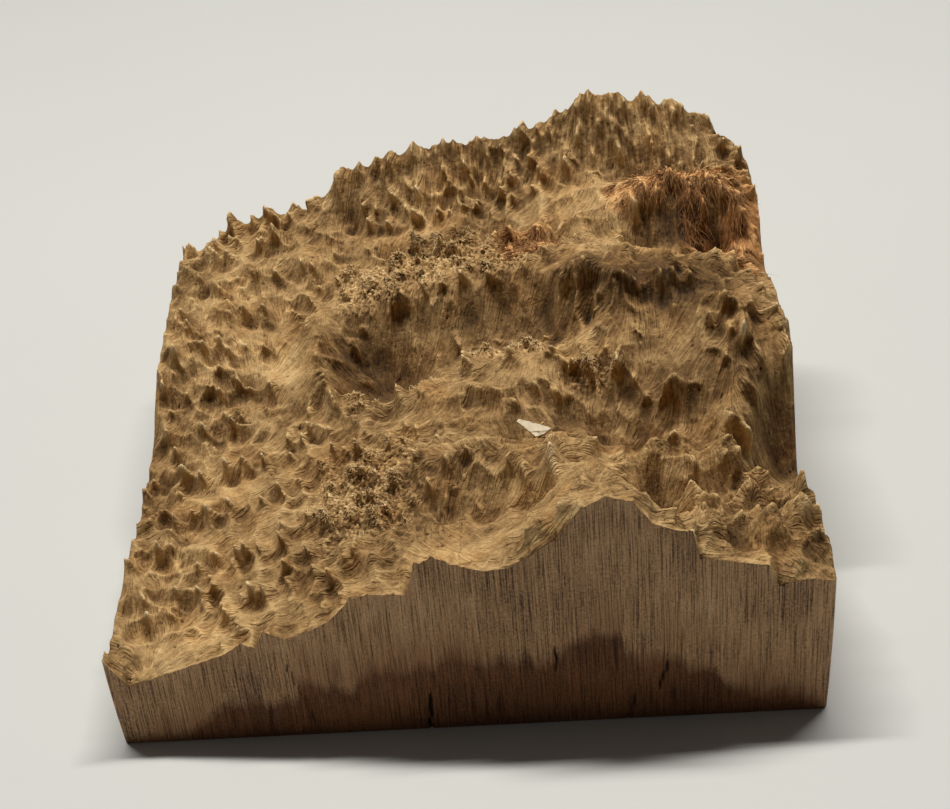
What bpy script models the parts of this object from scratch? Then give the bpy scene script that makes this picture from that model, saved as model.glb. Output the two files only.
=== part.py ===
"""A burl bowl blank: one block sawn from a burl, flat underneath and on its four sides, with the
burl's own thorny surface left on top. X runs across the sawn front, Y runs from the front to the
back, Z is up, and the origin is the middle of the underside. Lengths are millimetres until the
mesh is made, which is in metres."""

import math
import random

import bpy
import numpy as np

METRE = 0.001

# Overall size of the sawn block.
WIDTH = 210.0
DEPTH = 200.0

# Plan of the saw cuts, anticlockwise from the front left: corner and radius.
CORNERS = [
    (-105.0, -100.0, 0.8),
    (105.0, -100.0, 1.6),
    (102.0, 100.0, 26.0),
    (-103.0, 100.0, 9.0),
]
HALF_ARC = 8  # steps in half of a corner's arc
FOOT_INSET = 1.2  # how far the two end cuts draw in at the underside
FOOT_CURVE = 2.0  # power of that draw: higher keeps the side upright for longer

RASTER = 0.8  # spacing of the relief's grid
MARGIN = 6.0  # how far the relief's grid runs past the saw cuts
WALL_ROWS = 14  # rows of faces down the sawn sides, before thinning
TRIANGLES = 11600  # in the finished block
FLATNESS = 0.05  # what lies nearer than this to a flat cut belongs to it
SHARP_EDGE = 40.0  # degrees

SEED = 41

# Height of the wood along the front saw cut, as x, z.
FRONT_EDGE = [
    (-105, 33), (-99, 23), (-92, 25), (-83, 28), (-70, 32.5), (-64, 36), (-60, 34.5),
    (-57, 40), (-51, 37.5), (-46, 39), (-38, 43), (-31, 50.5), (-26, 52), (-15, 51.5),
    (-12, 61), (-7, 63), (0, 60), (7, 58.3), (14, 59), (20, 63), (27, 68), (35, 78),
    (42, 81.5), (49, 79.5), (54, 72), (60, 69), (65, 68), (67, 59.5), (78, 56.5),
    (86, 55), (89, 48), (97, 49.5), (105, 48),
]
FRONT_REACH = 4.5  # how far in from the front cut that line still rules the relief

# Spot heights of the burl's ground, as x, y, z, thorns and flutes left off.
SPOTS = {
    "left field": [
        (-108, -104, 30), (-105, -88, 29), (-105, -68, 32), (-105, -48, 34), (-105, -28, 33),
        (-105, -8, 37), (-105, 6, 43), (-105, 22, 52), (-105, 42, 57), (-105, 62, 60),
        (-105, 82, 60), (-104, 104, 55), (-80, -80, 30), (-80, -58, 33), (-80, -38, 36),
        (-80, -18, 38), (-80, 2, 43), (-78, 22, 50), (-76, 42, 56), (-75, 62, 61),
        (-75, 82, 65), (-72, 104, 70), (-60, -78, 36), (-60, -48, 40), (-60, -18, 42),
        (-58, 2, 45), (-58, 24, 50), (-58, 46, 56), (-56, 72, 66), (-55, 104, 73),
    ],
    "front left slope": [(-40, -80, 43), (-40, -50, 45), (-38, -20, 46), (-22, -70, 50), (-20, -40, 50)],
    "rim left of the great hollow": [(-48, 36, 62), (-47, 20, 57), (-43, 4, 52)],
    "great hollow": [
        (-26, 20, 40.5), (-18, 20, 42.5), (-31, 15, 42), (-22, 11, 42), (-14, 13, 46), (-39, 26, 51), (-39, 12, 47),
        (-30, 30, 49),
    ],
    "main crest": [
        (-44, 54, 61), (-34, 64, 66), (-20, 68, 71), (-6, 66, 74), (8, 62, 75), (22, 57, 77),
        (36, 50, 80), (48, 42, 82), (58, 34, 83), (66, 30, 82), (79, 30, 80), (92, 36, 74),
        (-34, 46, 64), (-22, 48, 69), (-8, 48, 72), (6, 47, 74), (20, 45, 76), (33, 37, 78.5),
    ],
    "lip of the main crest": [
        (-38, 37, 58), (-30, 36, 60), (-21, 37, 64), (-12, 37, 67.5), (-4, 36, 70), (4, 35, 72), (12, 35, 74),
        (21, 34, 75), (28, 31, 76), (34, 27, 77), (40, 20, 78), (47, 13, 77), (60, 14, 78), (72, 15, 79),
    ],
    "foot of the main crest": [
        (-12, 24, 50), (-3, 22, 54), (5, 21, 57), (15, 21, 59), (22, 20, 60), (29, 18, 61), (37, 12, 65),
        (47, 2, 68),
    ],
    "second crest": [
        (-20, -8, 53), (-12, -3, 57), (4, 3, 61), (18, 3, 64), (30, -1, 65), (40, -7, 61),
        (50, -9, 62), (60, -15, 61),
    ],
    "hollow below the second crest": [(28, -22, 54), (37, -22, 53), (45, -27, 50), (55, -31, 49)],
    "middle": [
        (4, -12, 58), (14, -12, 60), (-6, -30, 54), (-6, -42, 58), (8, -45, 61), (18, -50, 62),
        (35, -40, 57), (28, -60, 62), (41, -66, 68), (42, -84, 77), (22, -34, 56),
    ],
    "pale bowl": [(4, -76, 52), (-6, -62, 51), (18, -68, 54)],
    "pit beside the fin": [(56, -62, 45), (60, -74, 50), (62, -50, 56)],
    "right slope": [(60, 2, 70), (64, -8, 66), (70, -22, 60), (60, -26, 56), (72, 4, 73), (76, -12, 69)],
    "right mound": [
        (80, 0, 77), (92, 4, 78), (105, 4, 73), (101, -12, 71.5), (104, -17, 69), (95, -17, 70), (86, -14, 73),
        (108, 14, 70),
    ],
    "ragged ridge": [(89, -19, 70), (90, -26, 65), (87, -33, 60), (82, -40, 56), (78, -26, 59), (76, -36, 53)],
    "foot of the right mound": [(97, -23, 55), (96, -30, 42), (105, -30, 37), (91, -38, 42), (101, -40, 36)],
    "front right lumps": [(74, -52, 54), (86, -56, 48), (100, -62, 49), (95, -80, 51), (80, -76, 54), (70, -84, 58)],
    "front cut": [(x, -103, z) for x, z in ((-80, 28), (-50, 38), (-20, 52), (8, 58), (42, 80), (62, 68), (85, 54), (105, 48))],
    "back": [
        (-44, 76, 67), (-28, 77, 70), (-10, 76, 72.5), (8, 72, 75), (24, 68, 78), (40, 68, 83),
        (46, 56, 80), (46, 86, 89), (-36, 90, 76), (-20, 90, 80), (-4, 90, 83), (14, 90, 85), (30, 88, 88),
    ],
    "rear ridge": [(-44, 104, 83), (-30, 104, 91), (-14, 104, 95), (2, 104, 96), (20, 104, 98)],
    "fan": [
        (30, 104, 101), (38, 104, 106), (50, 102, 109), (64, 102, 107), (76, 100, 102), (86, 97, 97), (95, 90, 91),
        (101, 80, 86), (84, 86, 90),
        (64, 82, 87), (78, 78, 84),
    ],
    "rusty mound": [
        (50, 62, 82), (60, 66, 88), (74, 67, 92), (86, 65, 91), (96, 60, 85), (50, 50, 77), (62, 52, 78), (76, 52, 78),
        (88, 50, 76), (98, 48, 74), (62, 43, 74), (76, 43, 73),
    ],
    "right back edge": [(106, 46, 64), (105, 58, 75), (104, 70, 80)],
}
SPOT_SOFTNESS = 2.6  # rounds the ground over each spot

# Hollows sunk into that ground, as x, y, depth, and reach along x and y.
HOLLOWS = {
    "alcove over the great hollow": (-13, 33, 5, 4, 5),
    "alcove left of the middle": (3, 31, 6, 4.5, 5),
    "alcove in the middle": (15, 31, 6.5, 4.5, 5.5),
    "alcove right of the middle": (28, 27, 6.5, 4.5, 5.5),
    "hole in the main crest": (42, 14, 5, 2.2, 3),
    "hollow under the second crest, left": (33, -20, 4, 5, 5),
    "hollow under the second crest, middle": (44, -24, 5, 5, 5),
    "hollow under the second crest, right": (57, -27, 3, 4, 5),
    "scoop before the chip": (16, -29, 7, 5, 5),
    "scoop behind the bowl crest": (3, -40, 5, 4, 4),
    "bowl scoop left": (-4, -60, 5, 4, 6),
    "bowl scoop middle": (8, -62, 5, 5, 6),
    "bowl scoop right": (22, -66, 4, 4, 5),
    "pit beside the fin": (57, -58, 9, 4.5, 9),
    "dip in the front right lumps": (78, -88, 5, 6, 5),
    "dip behind the front right lumps": (76, -60, 5, 7, 5),
    "dip at the right end": (96, -68, 4, 6, 4),
    "rusty hollow": (86, 49, 11, 7, 7),
    "rusty hollow, left": (62, 52, 6, 5, 5),
    "behind the rusty mound": (60, 84, 5, 9, 6),
    "hollow by the fan": (34, 56, 5, 5, 8),
    "scoop in the back, left": (-24, 66, 5, 6, 6),
    "scoop in the back, right": (12, 66, 5, 7, 6),
    "scoop under the rear ridge": (-40, 88, 6, 5, 7),
    "scoop under the rear ridge, right": (8, 88, 5, 6, 6),
}

# Scallops: the burl is scooped all over. Each scoop falls steeply from the thorn at its upper end and
# rises gently to the next, so sharp ridges run between the scoops and meet in peaks.
SCALLOP_SPACING = 8.4
SCALLOP_JITTER = 0.42  # over the spacing
SCALLOP_HEIGHT = 2.9  # from the bottom of a scoop to the ridge round it
SCALLOP_POWER = 1.6  # higher makes the ridges sharper
SCALLOP_RADIUS = 0.52  # of a scoop across the slope, over the spacing
SCALLOP_DOWN = 1.9  # how far a scoop runs down from its bottom, over its radius
SCALLOP_UP = 0.6  # how far it runs up
SCALLOP_STRETCH = 0.7  # how much longer a slope of 1 makes a scoop
SCALLOP_REACH = 1.5  # where a scoop's side ends, over its radius
SCALLOP_PEAK = 0.4  # rise of the peaks beyond the ridges, over what the scoops' shape would give
SCALLOP_MEAN = 0.58  # what the scallops add on average, taken off again
SCALLOP_TURN = 0.35  # radians off the downhill direction
SCALLOP_BETWEEN = 0.5  # share of their depth left between the rows of thorns
ROW_REACH = 5.0  # how far from a row of thorns the scoops are still deep
FACING = (0.42, -0.3)  # the way scoops open on level ground

# Rows of thorns: the line they stand on, then spacing, height and half width.
COMBS = {
    "rear ridge left": ([(-46, 97), (-38, 98), (-28, 98), (-14, 98), (4, 98), (28, 98)], 2.9, 2.8, 1.3),
    "rear ridge, second row": ([(-42, 93), (-28, 94), (-10, 94), (8, 93), (30, 93)], 3.6, 3.0, 1.3),
    "fan": ([(28, 98), (42, 98), (58, 98), (72, 97.5), (84, 95), (92, 90), (98, 82), (101, 72), (102, 58), (102, 46)], 2.3, 3.2, 1.2),
    "fan, second row": ([(34, 93), (50, 93), (64, 90), (74, 86), (84, 79), (92, 70)], 3.0, 3.0, 1.2),
    "fan, third row": ([(40, 87), (54, 87), (66, 83), (76, 79)], 3.6, 2.4, 1.3),
    "main crest left": ([(-48, 53), (-42, 60), (-30, 68), (-16, 71), (0, 68), (12, 62), (24, 56)], 4.6, 2.9, 1.3),
    "matted band": ([(-40, 50), (-28, 55), (-12, 56), (4, 54), (20, 50)], 3.8, 1.6, 1),
    "lip left": ([(-40, 38), (-28, 37), (-14, 38), (-4, 37)], 4.2, 2.5, 1.4),
    "lip middle": ([(-2, 36), (8, 36), (20, 35), (30, 31)], 5.4, 2.9, 1.5),
    "lip right": ([(34, 28), (42, 22), (50, 17), (60, 16), (72, 17), (82, 22), (94, 31)], 5.6, 5.6, 1.7),
    "hollow rim": ([(-47, 30), (-46, 16), (-42, 4), (-34, -4), (-22, -8), (-12, -4)], 5.5, 4, 1.7),
    "second crest": ([(-6, 3), (4, 5), (18, 4), (30, 0), (38, -7), (47, -12), (58, -18)], 5, 4.2, 1.5),
    "below the second crest": ([(0, -14), (10, -15), (22, -16), (30, -13)], 5.5, 4.2, 1.7),
    "bowl crest": ([(-14, -44), (-4, -48), (8, -50), (17, -54), (27, -60)], 6.5, 4.9, 1.9),
    "lumps back": ([(66, -50), (76, -50), (88, -52), (100, -54)], 4, 2.2, 1.3),
    "lumps middle": ([(70, -64), (80, -66), (90, -64), (102, -68)], 4.5, 2.4, 1.4),
    "lumps front": ([(66, -82), (74, -78), (84, -80), (92, -84), (103, -88)], 5, 2.0, 1.3),
    "ragged ridge": ([(81, -4), (86, -12), (90, -19), (90, -27), (86, -35), (80, -42)], 3.4, 5.6, 1.5),
    "edge over the wall": ([(91, -17), (98, -17), (104, -18)], 3.6, 2.4, 1.4),
    "right mound": ([(84, 2), (92, -4), (100, -8)], 5, 4.2, 1.6),
    "rusty mound": ([(58, 58), (66, 60), (78, 60), (90, 58), (99, 52)], 4.4, 4, 1.4),
    "under the rear ridge": ([(-40, 88), (-26, 89), (-8, 89), (10, 88), (28, 87), (42, 86)], 4.8, 4, 1.7),
    "back middle": ([(-30, 60), (-14, 58), (2, 58), (18, 58), (34, 60)], 5.5, 4.2, 1.4),
    "back middle far": ([(-34, 80), (-14, 82), (8, 80), (28, 78)], 5.5, 4.2, 1.4),
    "left rim": ([(-103, 86), (-94, 95), (-82, 97), (-66, 98), (-52, 97)], 5.1, 4.2, 1.4),
    "left row 2": ([(-98, 78), (-84, 80), (-70, 84), (-56, 86)], 6, 4.2, 1.6),
    "left row 3": ([(-102, 62), (-90, 62), (-78, 66), (-64, 64), (-50, 66)], 6, 3.8, 1.5),
    "left row 4": ([(-100, 46), (-88, 44), (-76, 48), (-62, 50), (-52, 50)], 6.4, 3.8, 1.6),
    "left row 5": ([(-101, 30), (-90, 28), (-78, 32), (-66, 32), (-56, 34)], 6, 4.3, 1.6),
    "left row 6": ([(-102, 14), (-90, 14), (-76, 16), (-62, 14)], 6.4, 4.6, 1.7),
    "left row 7": ([(-102, -4), (-90, -2), (-76, 0), (-62, 4), (-50, 0)], 6.4, 4.2, 1.6),
    "left row 8": ([(-102, -22), (-88, -20), (-74, -20), (-60, -18), (-48, -12)], 6.8, 4.2, 1.6),
    "left row 9": ([(-103, -40), (-88, -38), (-72, -38), (-58, -40), (-46, -34)], 6, 3.8, 1.4),
    "left row 10": ([(-103, -58), (-90, -56), (-74, -58), (-58, -60), (-44, -54)], 5.5, 4.2, 1.4),
    "left row 11": ([(-102, -76), (-88, -74), (-74, -76), (-60, -78), (-46, -72)], 6, 4.2, 1.5),
    "left row 12": ([(-100, -90), (-80, -88), (-62, -92)], 7.2, 3.3, 1.4),
    "rough slope 1": ([(-40, -24), (-30, -22), (-20, -26), (-12, -30)], 5, 3.5, 1.4),
    "rough slope 2": ([(-42, -42), (-30, -40), (-18, -46), (-10, -58)], 5, 3.5, 1.4),
    "rough slope 3": ([(-40, -62), (-30, -60), (-20, -66)], 5.5, 3.7, 1.5),
    "rough slope 4": ([(-40, -84), (-30, -80), (-20, -84), (-12, -86)], 6, 4.1, 1.7),
}

# Smooth places, where thorns stay low, as x, y, and reach along x and y.
SMOOTH_PLACES = {
    "pale bowl": (4, -82, 24, 12),
    "saddle behind the front peak": (38, -66, 10, 12),
    "steep wall on the right": (94, -27, 12, 10),
    "great hollow": (-24, 14, 14, 14),
    "alcoves under the main crest": (12, 29, 28, 5.5),
    "right slope": (69, -2, 8, 15),
    "left of the great hollow": (-57, 22, 9, 13),
    "valley in the left field": (-70, 38, 14, 4),
    "front left edge": (-82, -92, 18, 6),
    "left valley": (-72, -28, 10, 5),
    "right of the great hollow": (-6, 6, 6, 8),
    "middle valley": (8, -22, 6, 5),
    "back valley": (-16, 72, 14, 4),
}
SMOOTHNESS = 0.8  # share of a thorn's height lost in the middle of such a place

# Places too finely thorned for the big scoops, as x, y, and reach along x and y.
FINE_PLACES = {
    "rear ridge": (-12, 98, 36, 8),
    "fan": (60, 94, 30, 12),
    "matted band, left": (-28, 54, 18, 14),
    "matted band, middle": (0, 52, 20, 14),
    "matted band, right": (24, 44, 14, 12),
    "alcoves": (12, 30, 24, 8),
    "rough slope": (-28, -52, 18, 24),
    "second crest": (18, 0, 22, 8),
    "rusty mound": (80, 62, 22, 14),
}
FINENESS = 0.7  # share of the scoops' depth lost in the middle of such a place

# Rounded knobs, as x, y, height, and reach along x and y.
KNOBS = {
    "broad lump behind": (80, -48, 4, 7, 4),
    "knob left of the lumps": (58, -46, 5, 4, 4),
    "left lump": (70, -64, 5, 5, 5),
    "back lump": (90, -54, 4, 5, 3.5),
    "end lump": (102, -60, 3, 4, 4),
    "middle lump": (84, -68, 5, 5, 4.5),
    "right lump": (97, -73, 5, 4.5, 4),
    "front lump": (88, -84, 5, 6, 5),
    "curled eye": (102, -88, 5, 5, 5),
    "lump beside the fin": (70, -80, 5, 5, 5),
    "finger under the second crest": (67, -22, 5, 3.5, 6),
    "knob on the right mound": (99, -7, 4, 5, 4),
    "rim of the chip's seat": (18, -26, 3, 6, 4),
    "lump at the saddle": (33, -50, 3, 6, 4),
    "lump in the great hollow": (-37, 30, 3, 3, 3),
    "lower lump in the great hollow": (-33, 20, 3, 3, 2.5),
}

# Thorns that stand out by themselves, as x, y, height and half width.
LONE_THORNS = {
    "fin between the hollow and the alcoves": (-4, 31, 4, 2.8),
    "second fin": (9, 31, 3.5, 2.6),
    "third fin": (22, 30, 4, 2.8),
    "fourth fin": (36, 23, 4, 2.6),
    "knob in the great hollow": (-36, 33, 3.5, 1.8),
    "knob below it": (-36, 24, 3.5, 1.8),
    "thorn on the hollow's near rim": (-28, 5, 6, 2.4),
    "fin": (63, -44, 8, 2.2),
    "left thorn of the second crest": (41, -8, 7, 2.9),
    "tall thorn of the second crest": (54, -10, 10, 3.0),
    "thorn right of it": (65, -19, 8, 3.4),
    "knob at the back of the lumps": (77, -43, 4, 2.2),
    "second knob": (88, -52, 3, 1.8),
    "third knob": (101, -57, 3.5, 1.8),
    "fourth knob": (82, -66, 3, 1.8),
    "fifth knob": (96, -70, 3.5, 1.8),
    "sixth knob": (68, -62, 4, 2.0),
    "seventh knob": (102, -72, 5, 1.8),
    "eighth knob": (90, -82, 2.5, 1.6),
    "flute between the crests": (66, 6, 9, 3.0),
    "thorn over the wall": (81, -38, 6, 2.4),
    "knob before the wall": (69, -46, 4, 2.4),
    "folded lip": (103, -17, 5, 3.0),
    "knob beside the chip": (20, -24, 6, 2.6),
    "knob behind the saddle": (38, -44, 6, 2.4),
    "thorn on the saddle": (30, -50, 6, 2.6),
    "left end of the rear ridge": (-42, 95, 9, 3.2),
    "thorn under the fan": (54, 84, 9, 2.6),
}

TAIL = 0.85  # length of a thorn's downhill side over its half width, on level ground
TAIL_ON_SLOPE = 2.0  # what a slope of 1 adds to that
BACK = 3.0  # length of its uphill side over its half width
SHARPNESS = 0.06  # rounds the very tip
STEEPEST = 2.0  # a steeper slope draws the tail out no further
THORN_REACH = 4.0  # where a thorn's side has died away, over its length
PEAK_SEARCH = 1.1  # how far a thorn shifts to stand on a peak between scoops, over its half width
THORN_JITTER = 0.32  # of place and spacing, over the spacing
HEIGHT_JITTER = 0.27
TURN_JITTER = 0.25  # radians off the downhill direction
THORN_BLEND = 2.4  # power mean that joins thorns where they run together

# The scoop that opens downhill of each thorn.
SCOOP_DEPTH = 0.42  # over the thorn's height
SCOOP_AHEAD = 2.0  # over its half width
SCOOP_WIDTH = 1.9  # over its half width

# Thorns anywhere between the rows, as number, range of height and range of half width.
SCATTERED = {
    "strays": (140, (2.2, 4.2), (1.4, 2.2)),
    "small": (200, (1.2, 3.0), (1.0, 1.5)),
}


def ground_weights(spots):
    """Weights of a multiquadric surface with a plane, through every spot height."""
    points = np.array(spots, float)
    xy, z = points[:, :2], points[:, 2]
    apart = np.hypot(*(xy[:, None, :] - xy[None, :, :]).transpose(2, 0, 1))
    count = len(spots)
    system = np.zeros((count + 3, count + 3))
    system[:count, :count] = np.hypot(apart, SPOT_SOFTNESS)
    system[:count, count] = system[count, :count] = 1.0
    system[:count, count + 1 :] = xy
    system[count + 1 :, :count] = xy.T
    return xy, np.linalg.solve(system, np.concatenate([z, np.zeros(3)]))


def ground_height(x, y, xy, weights):
    """Height of the burl's ground, with its hollows and without thorns, at points x, y."""
    height = weights[-3] + weights[-2] * x + weights[-1] * y
    for (px, py), weight in zip(xy, weights):
        height = height + weight * np.sqrt((x - px) ** 2 + (y - py) ** 2 + SPOT_SOFTNESS**2)
    for px, py, depth, reach_x, reach_y in HOLLOWS.values():
        height = height - depth * np.exp(-(((x - px) / reach_x) ** 2) - ((y - py) / reach_y) ** 2)
    for px, py, rise, reach_x, reach_y in KNOBS.values():
        height = height + rise * np.exp(-((((x - px) / reach_x) ** 2 + ((y - py) / reach_y) ** 2) ** 1.5))
    return height


def along_line(points, spacing, draw):
    """Points along a broken line, about that far apart, with seeded jitter."""
    points = np.array(points, float)
    steps = np.hypot(*np.diff(points, axis=0).T)
    ends = np.concatenate([[0.0], np.cumsum(steps)])
    at = spacing * draw.uniform(0.2, 0.8)
    while at < ends[-1]:
        x = np.interp(at, ends, points[:, 0]) + spacing * THORN_JITTER * draw.gauss(0, 0.6)
        y = np.interp(at, ends, points[:, 1]) + spacing * THORN_JITTER * draw.gauss(0, 1.0)
        yield x, y
        at += spacing * draw.uniform(1 - THORN_JITTER, 1 + THORN_JITTER)


def facing(slope_at, x, y):
    """The way a scoop or thorn at x, y faces, in radians, and the slope there."""
    down_x, down_y = slope_at(x, y)
    turn = math.atan2(down_y + FACING[1], down_x + FACING[0])
    return turn, min(math.hypot(down_x, down_y), STEEPEST)


def scallops(xs, ys, x, y, slope_at):
    """0 at the bottom of each scoop, rising to about 1 on the ridges and to more on the peaks between them."""
    draw = random.Random(SEED)
    far = np.full(x.shape, SCALLOP_REACH)
    rows = int((xs[-1] - xs[0]) / SCALLOP_SPACING) + 2
    columns = int((ys[-1] - ys[0]) / SCALLOP_SPACING) + 2
    for i in range(rows):
        for j in range(columns):
            px = xs[0] + SCALLOP_SPACING * (i + j % 2 / 2 + SCALLOP_JITTER * draw.gauss(0, 0.6))
            py = ys[0] + SCALLOP_SPACING * (j + SCALLOP_JITTER * draw.gauss(0, 0.6))
            turn, slope = facing(slope_at, px, py)
            turn += SCALLOP_TURN * draw.gauss(0, 1)
            radius = SCALLOP_RADIUS * SCALLOP_SPACING * draw.uniform(0.75, 1.2)
            down = radius * SCALLOP_DOWN * (1 + SCALLOP_STRETCH * slope)
            reach = SCALLOP_REACH * down
            i0, i1 = np.searchsorted(xs, [px - reach, px + reach])
            j0, j1 = np.searchsorted(ys, [py - reach, py + reach])
            dx, dy = x[i0:i1, j0:j1] - px, y[i0:i1, j0:j1] - py
            along = dx * math.cos(turn) + dy * math.sin(turn)
            along = along / np.where(along > 0, down, radius * SCALLOP_UP)
            across = (dy * math.cos(turn) - dx * math.sin(turn)) / radius
            far[i0:i1, j0:j1] = np.minimum(far[i0:i1, j0:j1], np.hypot(along, across))
    return np.minimum(far, 1) ** SCALLOP_POWER + SCALLOP_PEAK * SCALLOP_POWER * np.maximum(far - 1, 0)


def within(x, y, places):
    """1 inside any of the places, each given as x, y and reach along x and y, falling to 0 outside them."""
    most = 0 * x
    for px, py, reach_x, reach_y in places.values():
        inside = np.exp(-(((x - px) / reach_x) ** 4) - ((y - py) / reach_y) ** 4)
        most = np.maximum(most, inside)
    return most


def smoothness(x, y):
    """How much of the relief is lost at x, y: 0 on rough wood, up to SMOOTHNESS in a smooth place."""
    return SMOOTHNESS * within(x, y, SMOOTH_PLACES)


def near_rows(x, y):
    """1 on the rows of thorns, falling to 0 away from them."""
    nearest = np.full(x.shape, 1e6)
    for line, *_ in COMBS.values():
        for (ax, ay), (bx, by) in zip(line, line[1:]):
            long = (bx - ax) ** 2 + (by - ay) ** 2
            share = np.clip(((x - ax) * (bx - ax) + (y - ay) * (by - ay)) / long, 0, 1)
            apart = (x - ax - share * (bx - ax)) ** 2 + (y - ay - share * (by - ay)) ** 2
            nearest = np.minimum(nearest, apart)
    return np.exp(-nearest / ROW_REACH**2)


def thorns(slope_at):
    """Every thorn as x, y, height, half width, tail length and downhill direction."""
    draw = random.Random(SEED)
    found = list(LONE_THORNS.values())
    for line, spacing, height, width in COMBS.values():
        for x, y in along_line(line, spacing, draw):
            size = math.exp(HEIGHT_JITTER * draw.gauss(0, 1))
            found.append((x, y, height * size, width * size**0.5))
    for number, heights, widths in SCATTERED.values():
        for _ in range(number):
            x = draw.uniform(-WIDTH / 2, WIDTH / 2)
            y = draw.uniform(-DEPTH / 2, DEPTH / 2)
            found.append((x, y, draw.uniform(*heights), draw.uniform(*widths)))
    for x, y, height, width in found:
        height *= 1 - smoothness(x, y)
        turn, slope = facing(slope_at, x, y)
        turn += TURN_JITTER * draw.gauss(0, 1)
        yield x, y, height, width, width * (TAIL + TAIL_ON_SLOPE * slope), turn


def relief():
    """The burl's surface on a regular grid: x and y of its lines, and heights."""
    reach_x, reach_y = WIDTH / 2 + MARGIN, DEPTH / 2 + MARGIN
    xs = np.linspace(-reach_x, reach_x, int(2 * reach_x / RASTER) + 1)
    ys = np.linspace(-reach_y, reach_y, int(2 * reach_y / RASTER) + 1)
    x, y = np.meshgrid(xs, ys, indexing="ij")
    xy, weights = ground_weights([spot for group in SPOTS.values() for spot in group])

    def slope_at(px, py, step=1.0):
        """How steeply the ground falls towards +X and towards +Y."""
        across = np.array([px + step, px - step, px, px])
        along = np.array([py, py, py + step, py - step])
        east, west, north, south = ground_height(across, along, xy, weights)
        return (west - east) / (2 * step), (south - north) / (2 * step)

    scooped = scallops(xs, ys, x, y, slope_at)
    raised, sunk = np.zeros_like(x), np.zeros_like(x)
    for px, py, height, width, tail, turn in thorns(slope_at):
        i, j = np.searchsorted(xs, px), np.searchsorted(ys, py)
        search = int(PEAK_SEARCH * width / RASTER)
        near = scooped[i - search : i + search + 1, j - search : j + search + 1]
        shift_i, shift_j = np.unravel_index(near.argmax(), near.shape)
        px, py = xs[i - search + shift_i], ys[j - search + shift_j]
        lengthwise = THORN_REACH * np.array([tail, tail, -width * BACK, -width * BACK])
        sideways = THORN_REACH * np.array([width, -width, width, -width])
        far_x = px + lengthwise * math.cos(turn) - sideways * math.sin(turn)
        far_y = py + lengthwise * math.sin(turn) + sideways * math.cos(turn)
        i0, i1 = np.searchsorted(xs, [far_x.min(), far_x.max()])
        j0, j1 = np.searchsorted(ys, [far_y.min(), far_y.max()])
        dx, dy = x[i0:i1, j0:j1] - px, y[i0:i1, j0:j1] - py
        along = dx * math.cos(turn) + dy * math.sin(turn)
        across = (dy * math.cos(turn) - dx * math.sin(turn)) / width
        fall = np.where(along > 0, along / tail, along / (width * BACK))
        far = np.sqrt(across**2 + fall**2 + SHARPNESS**2)
        raised[i0:i1, j0:j1] += (height * np.exp(-far)) ** THORN_BLEND
        ahead = along / width - SCOOP_AHEAD
        scoop = SCOOP_DEPTH * height * np.exp(-(ahead**2 + across**2) / SCOOP_WIDTH**2)
        sunk[i0:i1, j0:j1] += scoop**THORN_BLEND
    surface = ground_height(x, y, xy, weights)
    surface += raised ** (1 / THORN_BLEND) - sunk ** (1 / THORN_BLEND)
    kept = (1 - smoothness(x, y)) * (1 - FINENESS * within(x, y, FINE_PLACES))
    kept *= SCALLOP_BETWEEN + (1 - SCALLOP_BETWEEN) * near_rows(x, y)
    surface += kept * SCALLOP_HEIGHT * (scooped - SCALLOP_MEAN)
    front = np.interp(xs, *zip(*FRONT_EDGE))
    row = np.searchsorted(ys, -DEPTH / 2)
    miss = front - surface[:, row]
    surface += miss[:, None] * np.exp(-np.abs(y + DEPTH / 2) / FRONT_REACH)
    return xs, ys, surface


def sample(xs, ys, grid, x, y):
    """The grid's value at points x, y, by straight interpolation."""
    u = (x - xs[0]) / (xs[1] - xs[0])
    v = (y - ys[0]) / (ys[1] - ys[0])
    i = np.clip(u.astype(int), 0, len(xs) - 2)
    j = np.clip(v.astype(int), 0, len(ys) - 2)
    u, v = u - i, v - j
    low = grid[i, j] * (1 - u) + grid[i + 1, j] * u
    high = grid[i, j + 1] * (1 - u) + grid[i + 1, j + 1] * u
    return low * (1 - v) + high * v


def corner_arc(before, corner, after, radius):
    """Points of the arc that rounds a corner of the plan, from one saw cut to the next."""
    corner = np.array(corner)
    to_before, to_after = np.array(before) - corner, np.array(after) - corner
    to_before, to_after = to_before / np.hypot(*to_before), to_after / np.hypot(*to_after)
    half = math.acos(to_before @ to_after) / 2
    middle = (to_before + to_after) / np.hypot(*(to_before + to_after))
    centre = corner + middle * radius / math.sin(half)
    first, last = (
        math.atan2(*(corner + side * radius / math.tan(half) - centre)[::-1])
        for side in (to_before, to_after)
    )
    angles = first + (last - first) % (2 * math.pi) * np.linspace(0, 1, 2 * HALF_ARC + 1)
    return centre + radius * np.stack([np.cos(angles), np.sin(angles)], 1)


def saw_cuts():
    """The four sides in plan, anticlockwise from the front, each with its length from 0 to 1 and its points.
    A side starts and ends halfway round the corners that it shares."""
    places, radii = [corner[:2] for corner in CORNERS], [corner[2] for corner in CORNERS]
    arcs = [
        corner_arc(places[k - 1], places[k], places[(k + 1) % 4], radii[k]) for k in range(4)
    ]
    for k in range(4):
        points = np.concatenate([arcs[k][HALF_ARC:], arcs[(k + 1) % 4][: HALF_ARC + 1]])
        length = np.concatenate([[0.0], np.cumsum(np.hypot(*np.diff(points, axis=0).T))])
        yield length / length[-1], points


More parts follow.
